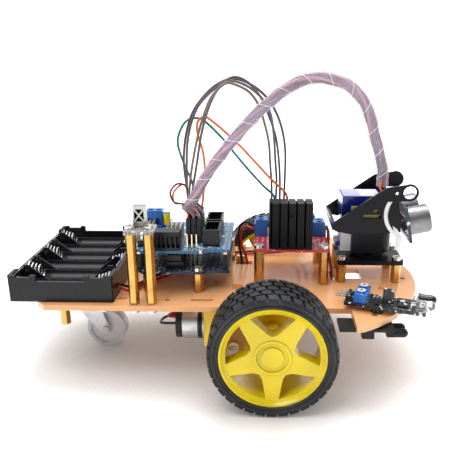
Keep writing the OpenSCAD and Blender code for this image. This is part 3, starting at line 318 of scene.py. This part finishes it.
def make_materials():
    """One material for each slot of the record, and a few for the added detail."""
    made = {
        "acrylic": acrylic("acrylic", (0.84, 0.44, 0.20)),
        "black_plastic": moulded("black_plastic", (0.006, 0.006, 0.008), 0.28, shine=0.26),
        "gloss_black": moulded("gloss_black", (0.005, 0.005, 0.007), 0.24, shine=0.15),
        "spring_steel": metal("spring_steel", (0.78, 0.77, 0.75), 0.2),
        "brass": metal("brass", (0.54, 0.33, 0.10), 0.24, dull=(0.7, 0.6, 0.45)),
        "screw_steel": metal("screw_steel", (0.74, 0.70, 0.60), 0.22),
        "navy_board": circuit("navy_board", (0.006, 0.014, 0.045), (0.010, 0.03, 0.075), (0.4, 0.45, 0.48)),
        "shield_blue": circuit("shield_blue", (0.03, 0.11, 0.23), (0.06, 0.18, 0.32), (0.7, 0.75, 0.78)),
        "red_board": circuit("red_board", (0.30, 0.012, 0.03), (0.42, 0.04, 0.06), (0.75, 0.7, 0.7)),
        "black_board": circuit("black_board", (0.010, 0.011, 0.014), (0.03, 0.033, 0.036), (0.7, 0.7, 0.7)),
        "pale_board": circuit("pale_board", (0.20, 0.20, 0.19), (0.32, 0.31, 0.29), (0.7, 0.7, 0.7)),
        "sonar_board": circuit("sonar_board", (0.012, 0.02, 0.035), (0.03, 0.045, 0.07), (0.6, 0.65, 0.68)),
        "port_metal": metal("port_metal", (0.55, 0.55, 0.54), 0.3),
        "pin_gold": metal("pin_gold", (0.70, 0.58, 0.34), 0.22),
        "terminal_blue": moulded("terminal_blue", (0.015, 0.12, 0.40), 0.3, coat=0.15),
        "white_plastic": moulded("white_plastic", (0.72, 0.72, 0.70), 0.35, glow=0.2),
        "cage_steel": metal("cage_steel", (0.42, 0.41, 0.39), 0.28),
        "sink_black": moulded("sink_black", (0.005, 0.005, 0.006), 0.34, grain=0.0002, edge=0.00015,
            shine=0.14),
        "can_grey": moulded("can_grey", (0.014, 0.015, 0.018), 0.35, shine=0.2),
        "gear_yellow": moulded("gear_yellow", (0.95, 0.62, 0.015), 0.35, coat=0.15, glow=0.15),
        "motor_steel": metal("motor_steel", (0.50, 0.50, 0.49), 0.3, stretch=(12, 1, 1)),
        "steel": metal("steel", (0.60, 0.60, 0.61), 0.26),
        "lamp": moulded("lamp", (0.6, 0.6, 0.62), 0.1, clear=0.7),
        "trimmer_blue": moulded("trimmer_blue", (0.012, 0.12, 0.46), 0.3, coat=0.15),
        "sensor_dark": moulded("sensor_dark", (0.010, 0.011, 0.013), 0.4, shine=0.2),
        "tyre": rubber("tyre"),
        "rim_yellow": moulded("rim_yellow", (0.64, 0.49, 0.003), 0.3, coat=0.2, glow=0.06, edge=0.0006),
        "shaft_white": moulded("shaft_white", (0.66, 0.64, 0.52), 0.4, glow=0.15),
        "horn_olive": moulded("horn_olive", (0.17, 0.16, 0.03), 0.4),
        "caster_nylon": moulded("caster_nylon", (0.74, 0.74, 0.75), 0.3, clear=0.35, glow=0.15),
        "servo_blue": moulded("servo_blue", (0.006, 0.012, 0.15), 0.18, coat=0.25, glow=0.05),
        "aluminium": metal("aluminium", (0.24, 0.24, 0.25), 0.36, stretch=(1, 12, 12)),
        "wrap": film("wrap", (0.58, 0.48, 0.57), 0.32),
        "wire_brown": moulded("wire_brown", (0.085, 0.05, 0.035), 0.35),
        "wire_purple": moulded("wire_purple", (0.09, 0.06, 0.12), 0.35),
        "wire_grey": moulded("wire_grey", (0.11, 0.095, 0.10), 0.35),
        "wire_tan": moulded("wire_tan", (0.15, 0.11, 0.08), 0.35),
        "wire_green": moulded("wire_green", (0.004, 0.16, 0.12), 0.35),
        "wire_orange": moulded("wire_orange", (0.80, 0.15, 0.05), 0.35),
        "wire_red": moulded("wire_red", (0.42, 0.014, 0.010), 0.35),
        "wire_black": moulded("wire_black", (0.010, 0.010, 0.011), 0.35),
        "label": moulded("label", (0.55, 0.55, 0.57), 0.32, grain=0.0006, bump=0.3, edge=0),
        "label_lilac": moulded("label_lilac", (0.36, 0.36, 0.66), 0.3, grain=0.001, edge=0),
        "glass_black": moulded("glass_black", (0.005, 0.005, 0.007), 0.08, coat=0.5, edge=0),
        "lamp_clear": moulded("lamp_clear", (0.8, 0.82, 0.84), 0.05, clear=0.9, edge=0),
        "cap_yellow": moulded("cap_yellow", (0.85, 0.62, 0.02), 0.3, coat=0.2),
        "wire_pink": moulded("wire_pink", (0.50, 0.28, 0.32), 0.35),
        "wire_mauve": moulded("wire_mauve", (0.20, 0.15, 0.24), 0.35),
        "grille": wire_mesh("grille"),
    }
    for name, piece in NODES.items():
        piece.data.materials.clear()
        piece.data.materials.append(made[SLOT_OF[name]])
    return made


# ---------------------------------------------------------------- mesh helpers


def smooth_route(points, steps=6):
    """Catmull-Rom curve through the route's points, as the CAD tubes use."""
    ends = [points[0], *points, points[-1]]
    path = []
    for i in range(len(points) - 1):
        a, b, c, d = ends[i : i + 4]
        for s in range(steps):
            t = s / steps
            square, cube = 2 * a - 5 * b + 4 * c - d, 3 * b - a - 3 * c + d
            path.append((2 * b + (c - a) * t + square * t**2 + cube * t**3) / 2)
    return path + [points[-1]]


def sections(path):
    """At each point of a path: the point, two steady cross directions and the distance from the start."""
    last = len(path) - 1
    side = None
    travelled = 0.0
    made = []
    for i, point in enumerate(path):
        along = (path[min(i + 1, last)] - path[max(i - 1, 0)]).normalized()
        if side is None:
            side = along.orthogonal().normalized()
        else:
            travelled += (point - path[i - 1]).length
        side = (side - along * side.dot(along)).normalized()
        made.append((point, side, along.cross(side), travelled))
    return made


def around(section, radius, angle):
    """Point at a radius and an angle round one section of a path."""
    point, u, v, _ = section
    return point + radius * (math.cos(angle) * u + math.sin(angle) * v)


class Piece:
    """Collects simple solids into one mesh, then makes it an object that rides on a body."""

    def __init__(self):
        self.mesh = bmesh.new()

    def block(self, low, high, bevel=0.2):
        """Box between two corners in millimetres from the axle, with softened edges."""
        low, high = at(*low), at(*high)
        made = bmesh.ops.create_cube(self.mesh, size=1.0)["verts"]
        for v in made:
            v.co = Vector(((low[k] + high[k]) / 2 + v.co[k] * (high[k] - low[k])) for k in range(3))
        self.soften(made, bevel)

    def chip(self, x, y, z, size):
        """Small block with its low corner at x, y, z; size is in millimetres."""
        self.block((x, y, z), (x + size[0], y + size[1], z + size[2]), 0.08)

    def drum(self, start, end, radius, top_radius=None, sides=24, bevel=0.0):
        """Cylinder or cone between two points in millimetres from the axle."""
        start, end = at(*start), at(*end)
        along = end - start
        turn = along.to_track_quat("Z", "Y").to_matrix().to_4x4()
        place = Matrix.Translation((start + end) / 2) @ turn
        top = radius if top_radius is None else top_radius
        made = bmesh.ops.create_cone(self.mesh, cap_ends=True, segments=sides, radius1=radius * MM,
            radius2=top * MM, depth=along.length, matrix=place)["verts"]
        self.soften(made, bevel)
        return made

    def ball(self, centre, radius):
        bmesh.ops.create_uvsphere(self.mesh, u_segments=20, v_segments=12, radius=radius * MM,
            matrix=Matrix.Translation(at(*centre)))

    def tube(self, path, radius, sides=10):
        """Round tube of radius metres along a path in metres."""
        angles = [2 * math.pi * k / sides for k in range(sides)]
        rings = [[self.mesh.verts.new(around(row, radius, a)) for a in angles] for row in sections(path)]
        self.skin(rings)
        self.mesh.faces.new(rings[0][::-1])
        self.mesh.faces.new(rings[-1])

    def skin(self, rings):
        """Faces between each ring of vertices and the next."""
        for first, second in zip(rings, rings[1:]):
            for k in range(len(first)):
                m = (k + 1) % len(first)
                self.mesh.faces.new((first[k], first[m], second[m], second[k]))

    def soften(self, verts, bevel):
        if not bevel:
            return
        edges = {e for v in verts for e in v.link_edges if e.calc_face_angle(0) > 0.8}
        bmesh.ops.bevel(self.mesh, geom=list(edges), offset=bevel * MM, segments=2, affect="EDGES",
            profile=0.6, clamp_overlap=True)

    def turned(self, matrix):
        bmesh.ops.transform(self.mesh, matrix=matrix, verts=self.mesh.verts)
        return self

    def made(self, name, material, body, slot=None, angle=35):
        """Finishes the mesh as an object with smooth shading across shallow edges."""
        bmesh.ops.recalc_face_normals(self.mesh, faces=self.mesh.faces)
        data = bpy.data.meshes.new(name)
        self.mesh.to_mesh(data)
        self.mesh.free()
        piece = bpy.data.objects.new(name, data)
        bpy.context.scene.collection.objects.link(piece)
        piece.data.materials.append(material)
        for face in piece.data.polygons:
            face.use_smooth = True
        for edge in data.edges:
            edge.use_edge_sharp = False
        with bpy.context.temp_override(object=piece, active_object=piece, selected_objects=[piece],
                selected_editable_objects=[piece]):
            bpy.ops.object.shade_smooth_by_angle(angle=math.radians(angle))
        if body:
            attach(piece, body)
        return piece


# ---------------------------------------------------------------- cords

# The routes are those of part.scad, in millimetres from the wheel axle.
ROUTES = {
    "cable_bundle": [(-49, -14, 91.5), (-44, -14, 98), (-38, -13, 109), (-31, -12, 119),
        (-23, -11, 129), (-14, -10, 139), (-5, -10, 148), (5, -9, 156), (14, -8, 161),
        (24, -6, 163), (35, -5, 161), (43, -4, 157), (50, -4, 149), (54, -3, 140), (57, -2, 130),
        (61, -1, 118), (63, 0, 109), (63, 0, 102.3)],
    "jumper_brown": [(-47, 0, 89.9), (-49, 1, 97), (-51, 2, 114), (-50, 3, 128), (-47, 5, 140),
        (-42, 6, 149), (-33, 8, 158), (-23, 9, 162), (-13, 11, 159), (-4, 13, 152), (2, 15, 143),
        (6, 17, 132), (8, 19, 119), (8, 20, 103), (7.6, 20, 86.9)],
    "jumper_purple": [(-47, -3, 89.9), (-49, -2, 97), (-49, -1, 115), (-48, 0, 129), (-45, 2, 141),
        (-40, 3, 150), (-31, 5, 158), (-22, 6, 163), (-14, 8, 160), (-7, 10, 152), (-2, 12, 141),
        (2, 15, 129), (4, 18, 116), (5, 20, 102), (5.1, 20, 86.9)],
    "jumper_grey": [(-47, -6, 89.9), (-46, -5, 99), (-43, -4, 115), (-40, -3, 132), (-36, -1, 146),
        (-31, 0, 156), (-25, 2, 161), (-18, 3, 160), (-11, 5, 156), (-5, 7, 150), (-1, 10, 142),
        (1, 13, 129), (2, 17, 115), (3, 20, 101), (2.5, 20, 86.9)],
    "jumper_white": [(-47, -9, 89.9), (-47, -8.5, 101), (-45, -7.5, 116), (-41, -6.5, 134),
        (-37, -4, 146), (-33, -3, 154), (-26, -1, 160), (-20, 0, 159), (-13, 2, 155), (-8, 4, 148),
        (-5, 7, 139), (-2, 11, 126), (-1, 16, 112), (0, 20, 99), (0, 20, 86.9)],
    "jumper_green": [(-44, 3, 89.9), (-45, 4, 97), (-48, 5.5, 106), (-52, 7, 115), (-55, 8, 126),
        (-53, 9, 134), (-49, 10, 139), (-43, 11, 140), (-38, 12, 137), (-29, 12, 128),
        (-22, 13, 119), (-13, 14, 108), (-5, 15, 99), (1, 16.4, 93), (2.5, 17.4, 86.9)],
    "jumper_orange": [(-41, 0, 89.9), (-40, 1, 97), (-39, 3, 109), (-40, 5, 121), (-43, 7, 131),
        (-43, 8, 138), (-39, 9, 141), (-33, 10, 137), (-25, 10, 130), (-17, 11, 122),
        (-9, 12.5, 113), (-1, 14, 104), (5, 16, 98), (8.8, 17.2, 93.5), (10.2, 20, 86.9)],
    "driver_lead_red": [(-10.7, 8, 74), (-15, 9, 75), (-18, 11, 73), (-19, 13, 67), (-18, 15, 60),
        (-16, 16.5, 54), (-15, 17, 48), (-15, 16.5, 41), (-19, 15.5, 34), (-28, 15, 31),
        (-38, 15, 30), (-50, 18, 31), (-57, 21, 32), (-60, 26, 33), (-58, 30, 33), (-52.8, 30, 33)],
    "driver_lead_black": [(-10.7, 13, 74), (-15, 14, 76.5), (-19, 15.5, 74), (-20.5, 17, 67),
        (-20, 18, 60), (-19, 18.5, 54), (-18.5, 18, 48), (-19.5, 16, 44), (-24, 13, 41),
        (-31, 11, 39), (-38, 11, 37), (-50, 13, 35), (-60, 17, 34), (-67, 25, 33), (-67, 33, 33),
        (-62, 38, 33), (-52.8, 38.5, 33)],
    "battery_lead_red": [(-84.8, -34, 53), (-81, -34, 51), (-77, -32, 50), (-75, -26, 50),
        (-71, -19, 50), (-62, -10, 50), (-54, 0, 50), (-48, 9, 50), (-38, 19, 50), (-26, 28, 50),
        (-8, 32, 50), (8, 33, 51), (16.5, 33, 57), (19.3, 33, 66), (19.3, 29, 73),
        (19.3, 24.2, 74)],
    "battery_lead_black": [(-84.8, -30, 53), (-81, -29, 51), (-78, -26, 50), (-75, -20, 50),
        (-69, -10, 50), (-61, 0, 50), (-52, 12, 50), (-40, 24, 50), (-25, 33, 50), (-8, 36, 50),
        (10, 37, 51), (21, 37, 57), (24.3, 36, 66), (24.3, 30, 73), (24.3, 24.2, 74)],
}


def declare_cord(node_name):
    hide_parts(node_name)


def make_wire(node_name, diameter, materials):
    """One insulated wire along its CAD route."""
    path = smooth_route([at(*p) for p in ROUTES[node_name]])
    piece = Piece()
    piece.tube(path, diameter / 2 * MM, 10)
    made = piece.made(node_name + "_wire", materials[SLOT_OF[node_name]], "chassis")
    declare_cord(node_name)


def twisted(path, radius, phase, pitch):
    """A strand that winds round a path at a radius, one turn for each pitch."""
    return [around(row, radius, phase + 2 * math.pi * row[3] / pitch) for row in sections(path)]


def make_bundle(materials):
    """Six strands in a clear spiral wrap, whose turns leave a thin slanting seam, with a thin white band along
    the seam as a painted highlight on the wrap's edge.
    """
    route = [at(*p) for p in ROUTES["cable_bundle"]]
    path = smooth_route(route, 8)
    colours = ("wire_mauve", "wire_pink", "wire_mauve", "wire_pink", "wire_brown", "wire_mauve")
    strands = []
    for i, colour in enumerate(colours):
        piece = Piece()
        piece.tube(twisted(path, 2.0 * MM, 2 * math.pi * i / len(colours), 0.09), 0.95 * MM, 8)
        slot = colour if colour in SLOTS else None
        strands.append(piece.made(f"bundle_strand_{i + 1}", materials[colour], None, slot))
    wrap = Piece()
    sides, pitch, seam_depth = 20, 0.013, 0.45
    rings = []
    for row in sections(path):
        ring = []
        for k in range(sides):
            seam = (row[3] / pitch - k / sides) % 1.0
            radius = (BUNDLE_D / 2 - seam_depth * math.exp(-((seam - 0.5) * 9) ** 2)) * MM
            ring.append(wrap.mesh.verts.new(around(row, radius, 2 * math.pi * k / sides)))
        rings.append(ring)
    wrap.skin(rings)
    sleeve = wrap.made("bundle_wrap", materials["wrap"], None, None, 60)
    # Painted highlight: a thin white tube along the seam stands in for the light caught by the wrap's edge.
    band = Piece()
    helix = twisted(smooth_route(route, 24), (BUNDLE_D / 2 - 0.1) * MM, 0.0, pitch)
    band.tube(helix, 0.22 * MM, 5)
    wrap_edge_highlight = band.made("bundle_wrap_edge_highlight", materials["white_plastic"], None, "white_plastic")
    for piece in (sleeve, wrap_edge_highlight, *strands):
        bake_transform(piece)
    declare_cord("cable_bundle")


def make_cords(materials):
    for name in ("brown", "purple", "grey", "white", "green", "orange"):
        make_wire("jumper_" + name, WIRE_D, materials)
    for name in ("driver_lead_red", "driver_lead_black", "battery_lead_red", "battery_lead_black"):
        make_wire(name, LEAD_D, materials)
    make_bundle(materials)


# ---------------------------------------------------------------- wheels


def make_tyre(side, body, node_name, materials):
    """Tyre with a ribbed side wall and staggered tread blocks."""
    columns, blocks = 5, 34
    width = (TYRE_OUT - TYRE_IN) / columns
    base_r, top_r = WHEEL_R - 1.5, WHEEL_R
    piece = Piece()
    profile = [(RIM_R, TYRE_IN + 1), (RIM_R + 0.6, TYRE_IN + 0.1), (RIM_R + 2.2, TYRE_IN),
        (base_r - 0.6, TYRE_IN + 0.2), (base_r, TYRE_IN + 1.2), (base_r, TYRE_OUT - 1.2),
        (base_r - 0.6, TYRE_OUT - 0.2), (RIM_R + 2.6, TYRE_OUT), (RIM_R + 1.9, TYRE_OUT - 0.5),
        (RIM_R + 1.2, TYRE_OUT - 0.1), (RIM_R + 0.5, TYRE_OUT - 0.2), (RIM_R, TYRE_OUT - 1)]
    turns = 136

    def spot(r, y, a):
        """Point at a radius, a distance outwards and an angle from the top of the wheel."""
        x, z = AXLE_X * MM + r * MM * math.sin(a), (WHEEL_R + r * math.cos(a)) * MM
        return Vector((x, side * y * MM, z))

    angles = [2 * math.pi * k / turns for k in range(turns)]
    rings = [[piece.mesh.verts.new(spot(r, y, a)) for r, y in profile] for a in angles]
    piece.skin(rings + rings[:1])
    for column in range(columns):
        low = TYRE_IN + column * width + 0.45
        high = low + width - 0.9
        edge = column in (0, columns - 1)
        for n in range(blocks):
            centre = 2 * math.pi * (n + 0.5 * (column % 2)) / blocks
            half = math.pi / blocks * 0.86
            tread_block(piece, spot, low, high, centre, half, base_r - 0.2, top_r, edge, column == 0)
    made = piece.made(node_name + "_tread", materials["tyre"], body, "tyre", 30)
    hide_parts(node_name)


def tread_block(piece, spot, low, high, centre, half, base_r, top_r, edge, inner):
    """One raised block with sloping sides, skewed a little; shoulder blocks wrap over the edge."""
    if edge and inner:
        low = TYRE_IN + 0.35
    if edge and not inner:
        high = TYRE_OUT - 0.35
    skew = half * 0.12
    corners = [(low, -half, -skew), (high, -half, skew), (high, half, skew), (low, half, -skew)]
    foot = [piece.mesh.verts.new(spot(base_r, y, centre + a + s)) for y, a, s in corners]
    mid_y = (low + high) / 2
    top = []
    for y, a, s in corners:
        inset_y = y + (mid_y - y) * 0.1
        drop = 0.55 if edge and ((inner and y == low) or (not inner and y == high)) else 0.0
        top.append(piece.mesh.verts.new(spot(top_r - drop, inset_y, centre + a * 0.86 + s)))
    piece.mesh.faces.new(top)
    for k in range(4):
        m = (k + 1) % 4
        piece.mesh.faces.new((foot[k], foot[m], top[m], top[k]))


# ---------------------------------------------------------------- small detail


def local(place, turn):
    """Carries a piece drawn from the axle's origin to a mounting point, turned by a matrix."""
    origin = at(0, 0, 0)
    return Matrix.Translation(at(*place)) @ turn @ Matrix.Translation(-origin)


def small_wire(name, points, radius, material, slot, body=None, start_end=None):
    """Short hook-up wire through points in millimetres; it rides a body, or, with start_end given, has its
    transform baked and rides none.
    """
    piece = Piece()
    piece.tube(smooth_route([at(*p) for p in points], 8), radius * MM, 8)
    wire = piece.made(name, material, body, slot)
    if start_end:
        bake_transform(wire)
    return wire


def make_head_detail(materials):
    """Servo labels, transducer grilles and the short wires at the head."""
    label = Piece()
    label.block((39.7, -6.22, 65.2), (45.8, -6.12, 76.5), 0)
    label.block((39.5, -5.6, 65.2), (39.6, 5.6, 76.5), 0)
    label.made("pan_servo_label", materials["label"], "pan_head", "white_plastic")
    label = Piece()
    label.block((40.4, -7.6, 98.42), (50.0, 8.6, 98.52), 0)
    label.made("tilt_servo_label", materials["label_lilac"], "pan_head", "white_plastic")
    label = Piece()
    label.block((50.0, -7.6, 98.42), (61.0, 8.6, 98.52), 0)
    label.made("tilt_servo_label_end", materials["white_plastic"], "pan_head", "white_plastic")
    face = local(SONAR_FOOT, Matrix.Rotation(math.radians(SONAR_LEAN), 4, "Y"))
    for i, y in enumerate((-13, 13)):
        grille = Piece()
        grille.drum((12.2, y, 9.6), (12.45, y, 9.6), 6.3, sides=40)
        grille.turned(face).made(f"grille_{i + 1}", materials["grille"], "tilt_head", "cage_steel")
    chips = Piece()
    for i in range(7):
        for y, z in ((-19, 14.6), (-19, 2.6), (7.6, 14.6)):
            chips.chip(-0.6, y + i * 1.9, z, (0.6, 1.0, 0.8))
    chips.turned(face).made("sonar_solder", materials["steel"], "tilt_head", "steel")
    for i, colour in enumerate(("wire_orange", "wire_red", "wire_brown")):
        y = -1.3 + 1.3 * i
        route = [(61.9, y - 1.5, 105.5), (61.2, y - 2.4, 102.4), (62.3, y - 2.4, 100.2),
            (63.3, y - 2, 97.5), (62.9, y - 2, 95.2), (61.9, y - 2, 94.6)]
        small_wire(f"servo_wire_{i + 1}", route, 0.55, materials[colour], colour, "pan_head")
    for i, colour in enumerate(("wire_grey", "wire_brown", "wire_purple", "wire_tan")):
        y = -3 + 2 * i
        route = [(63.4, 0.4 * y, 104), (65.2, 0.7 * y, 100.5), (66.6, y, 96), (68.5, y, 91),
            (70.5, y, 87.6), (72.4, y, 86.4)]
        small_wire(f"sonar_wire_{i + 1}", route, 0.5, materials[colour], colour, None,
            ((63.4, 0, 103), (69.5, 0, 89)))


def make_sensor_detail(materials):
    """The obstacle board's lamps, pins, header and dials, with painted shade in the dials' slots, and the
    receiver inside its cage.
    """
    wing = local(OBSTACLE_CORNER, Matrix.Rotation(math.radians(OBSTACLE_TURN), 4, "Z"))
    for y, name, material in ((4, "lamp_near", "lamp_clear"), (12, "lamp_far", "glass_black")):
        lamp = Piece()
        lamp.drum((35.8, y, 4.6), (36.9, y, 4.6), 2.9, sides=28, bevel=0.15)
        lamp.drum((36.7, y, 4.6), (42.6, y, 4.6), 2.5, sides=28)
        lamp.ball((42.6, y, 4.6), 2.5)
        made = lamp.turned(wing).made(name, materials[material], "chassis", "lamp")
        if y == 4:
            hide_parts("obstacle_leds")
    core = Piece()
    core.block((37.4, 3.2, 3.7), (38.4, 4.8, 5.5), 0.1)
    core.drum((38.4, 4, 4.6), (40.2, 4, 4.6), 1.2, 0.5, sides=16)
    for y in (4, 12):
        for low in (y - PIN_PITCH / 2 - 0.3, y + PIN_PITCH / 2 - 0.3):
            core.chip(34, low, 4.3, (2, 0.6, 0.6))
            core.chip(33.4, low, 1.6, (0.6, 0.6, 3.3))
    for i in range(4):
        core.chip(-5, 4.2 + i * PIN_PITCH, 2.7, (5.4, 0.6, 0.6))
    for i in range(9):
        core.chip(25.2 + 0.9 * i, 1.0, 1.55, (0.5, 0.8, 0.45))
        core.chip(13.2 + 1.8 * (i % 3), 11.6 + i // 3, 1.55, (1.1, 0.6, 0.55))
    core.turned(wing).made("lamp_pins", materials["steel"], "chassis", "steel")
    dials = Piece()
    for y in (4.4, 11.8):
        dials.drum((8.2, y, 7.7), (8.2, y, 8.0), 2.1, sides=24)
        dials.block((6.4, y - 2.6, 6.42), (10.0, y - 2.35, 6.5), 0)
    dials.turned(wing).made("trimmer_dials", materials["white_plastic"], "chassis", "white_plastic")
    # Painted shade: thin black strips in a cross on each white dial stand in for the shade inside its slots.
    slot_shade = Piece()
    for y in (4.4, 11.8):
        slot_shade.block((6.6, y - 0.3, 7.9), (9.8, y + 0.3, 8.05), 0)
        slot_shade.block((7.9, y - 1.6, 7.9), (8.5, y + 1.6, 8.05), 0)
    slot_shade.turned(wing).made("trimmer_slot_shade", materials["black_plastic"], "chassis", "black_plastic")
    heart = Piece()
    heart.block((-71.8, -41.55, 93.2), (-66.6, -41.35, 99.6), 0.05)
    heart.ball((-69.2, -41.0, 96.3), 1.9)
    heart.made("receiver_heart", materials["sink_black"], "chassis", "black_plastic")
    parts = Piece()
    for x in (-70.9, -69.2, -67.5):
        parts.chip(x - 0.3, -43.9, RECEIVER_TOP, (0.6, 0.9, 1.7))
    parts.chip(-74.6, -50.6, RECEIVER_TOP, (1.4, 0.8, 0.6))
    parts.chip(-65.4, -50.8, RECEIVER_TOP, (1.2, 1.2, 0.7))
    parts.made("receiver_pins", materials["steel"], "chassis", "steel")


def make_board_detail(materials):
    """Small parts on the boards, the capacitor sleeve and tops, and the motor end caps."""
    sleeve = Piece()
    sleeve.drum((-64.7, 15, 74.6), (-64.7, 15, 82.0), 2.5, sides=28, bevel=0.3)
    sleeve.made("shield_capacitor_sleeve", materials["cap_yellow"], "chassis", "gear_yellow")
    tops = Piece()
    for x in (2.5, 19.5):
        tops.drum((x, 8, 79.0), (x, 8, 79.25), 3.1, sides=28)
    on_shield, on_driver = SHIELD_TOP - 0.05, DRIVER_TOP - 0.05
    for y in (-23, -2):
        for i in range(10):
            tops.chip(-38.2 + (i % 2) * 8, y + (i // 2) * 3.3, on_shield, (0.6, 0.8, 0.65))
    for i in range(14):
        tops.chip(-27.4, -26 + i * 3.4, on_shield, (1.2, 1.4, 0.6))
        tops.chip(-48.5 + (i % 7) * 1.6, -30.6 + (i // 7) * 1.9, on_shield, (0.9, 1.2, 0.55))
    for i in range(8):
        tops.chip(24.6 + (i % 2) * 1.9, -17 + (i // 2) * 2.6, on_driver, (1.1, 1.4, 0.65))
    tops.made("board_parts", materials["steel"], "chassis", "steel")
    for side, name in ((-1, "right"), (1, "left")):
        y = side * MOTOR_Y
        for part, low, high, radius, half, look in (("cap", -52.7, -49.1, 9.8, 7.4, "can_grey"),
                ("band", -40.6, -38.0, 10.2, 7.8, "black_plastic")):
            ring = Piece()
            for v in ring.drum((low, y, WHEEL_R), (high, y, WHEEL_R), radius, sides=64):
                v.co.z = min(max(v.co.z, (WHEEL_R - half) * MM), (WHEEL_R + half) * MM)
            ring.made(f"{name}_motor_{part}", materials[look], "chassis", look)


def make_loose_wires(materials):
    """Wire ends: the fan from the wrapped bundle to the shield's pins, and the right motor's leads."""
    ends = [(x, y, 87.4) for x in (-47, -44, -41) for y in (-15.2, -18)]
    ends += [(x, y, 89.4) for x in (-44, -41) for y in (-12, -9, -6, -3)]
    colours = ("wire_brown", "wire_red", "wire_orange", "wire_mauve", "wire_pink", "wire_grey", "wire_brown")
    for i, (x, y, z) in enumerate(ends):
        colour = colours[i % len(colours)]
        lean = 1.2 * ((i * 7) % 5 - 2)
        mid = ((x - 47) / 2 + 0.3 * lean, (y - 14) / 2, z + 4.5 + 0.5 * lean)
        slot = colour if colour in SLOTS else "wire_purple"
        route = [(-46.6, -14 + 0.12 * (y + 14), 94.6), mid, (x, y, z + 1.6), (x, y, z)]
        small_wire(f"fan_wire_{i + 1}", route, 0.55, materials[colour], slot, "chassis")
    for i, colour in enumerate(("wire_brown", "wire_orange")):
        s = 1.3 * i
        route = [(-46.5, -15.5 + s, 94.2), (-50.5, -15.5 + s, 95.5), (-55.5 + 0.4 * s, -14 + s, 96.6 - s),
            (-57.3 + s, -12 + s, 101.5 - s), (-54.0 + s, -9 + s, 105.4 - s), (-49.6, -6.5 + s, 104),
            (-47.9, -6.2 + s, 98.5), (-47.4, -6.0 + 0.6 * s, 92)]
        small_wire(f"loop_wire_{i + 1}", route, 0.6, materials[colour], colour, "chassis")
    for i, (colour, y) in enumerate((("wire_red", 8.6), ("wire_black", 13.4))):
        route = [(31.0, y, 73.5), (33.8, y, 74.0), (34.6, y - 1, 70.5), (34.4, y - 4, 63),
            (35.6, y - 8, 55), (36.2, -1.4 + 3 * i, 48.5), (35.6, -5 + 4 * i, 43.5),
            (31, -12 + 4 * i, 38), (22, -16 + 3 * i, 33), (4, -18 + 3 * i, 31 - 2 * i),
            (-20, -18 + 3 * i, 31 - 2 * i), (-44, -18 + 3 * i, 32 - 3 * i),
            (-57 - 3 * i, -23 + 3 * i, 32 - 3 * i), (-58.5 - 4 * i, -29 - 4 * i, 33 - 2 * i),
            (-53.0, -30 - 8 * i, 33)]
        wire = small_wire(f"right_motor_lead_{i + 1}", route, LEAD_D / 2, materials[colour], colour,
            "chassis")


def main():
    make_camera()
    materials = make_materials()
    make_cords(materials)
    make_tyre(-1, "right_wheel", "right_tyre", materials)
    make_tyre(1, "left_wheel", "left_tyre", materials)
    make_head_detail(materials)
    make_sensor_detail(materials)
    make_board_detail(materials)
    make_loose_wires(materials)
    make_studio()


main()
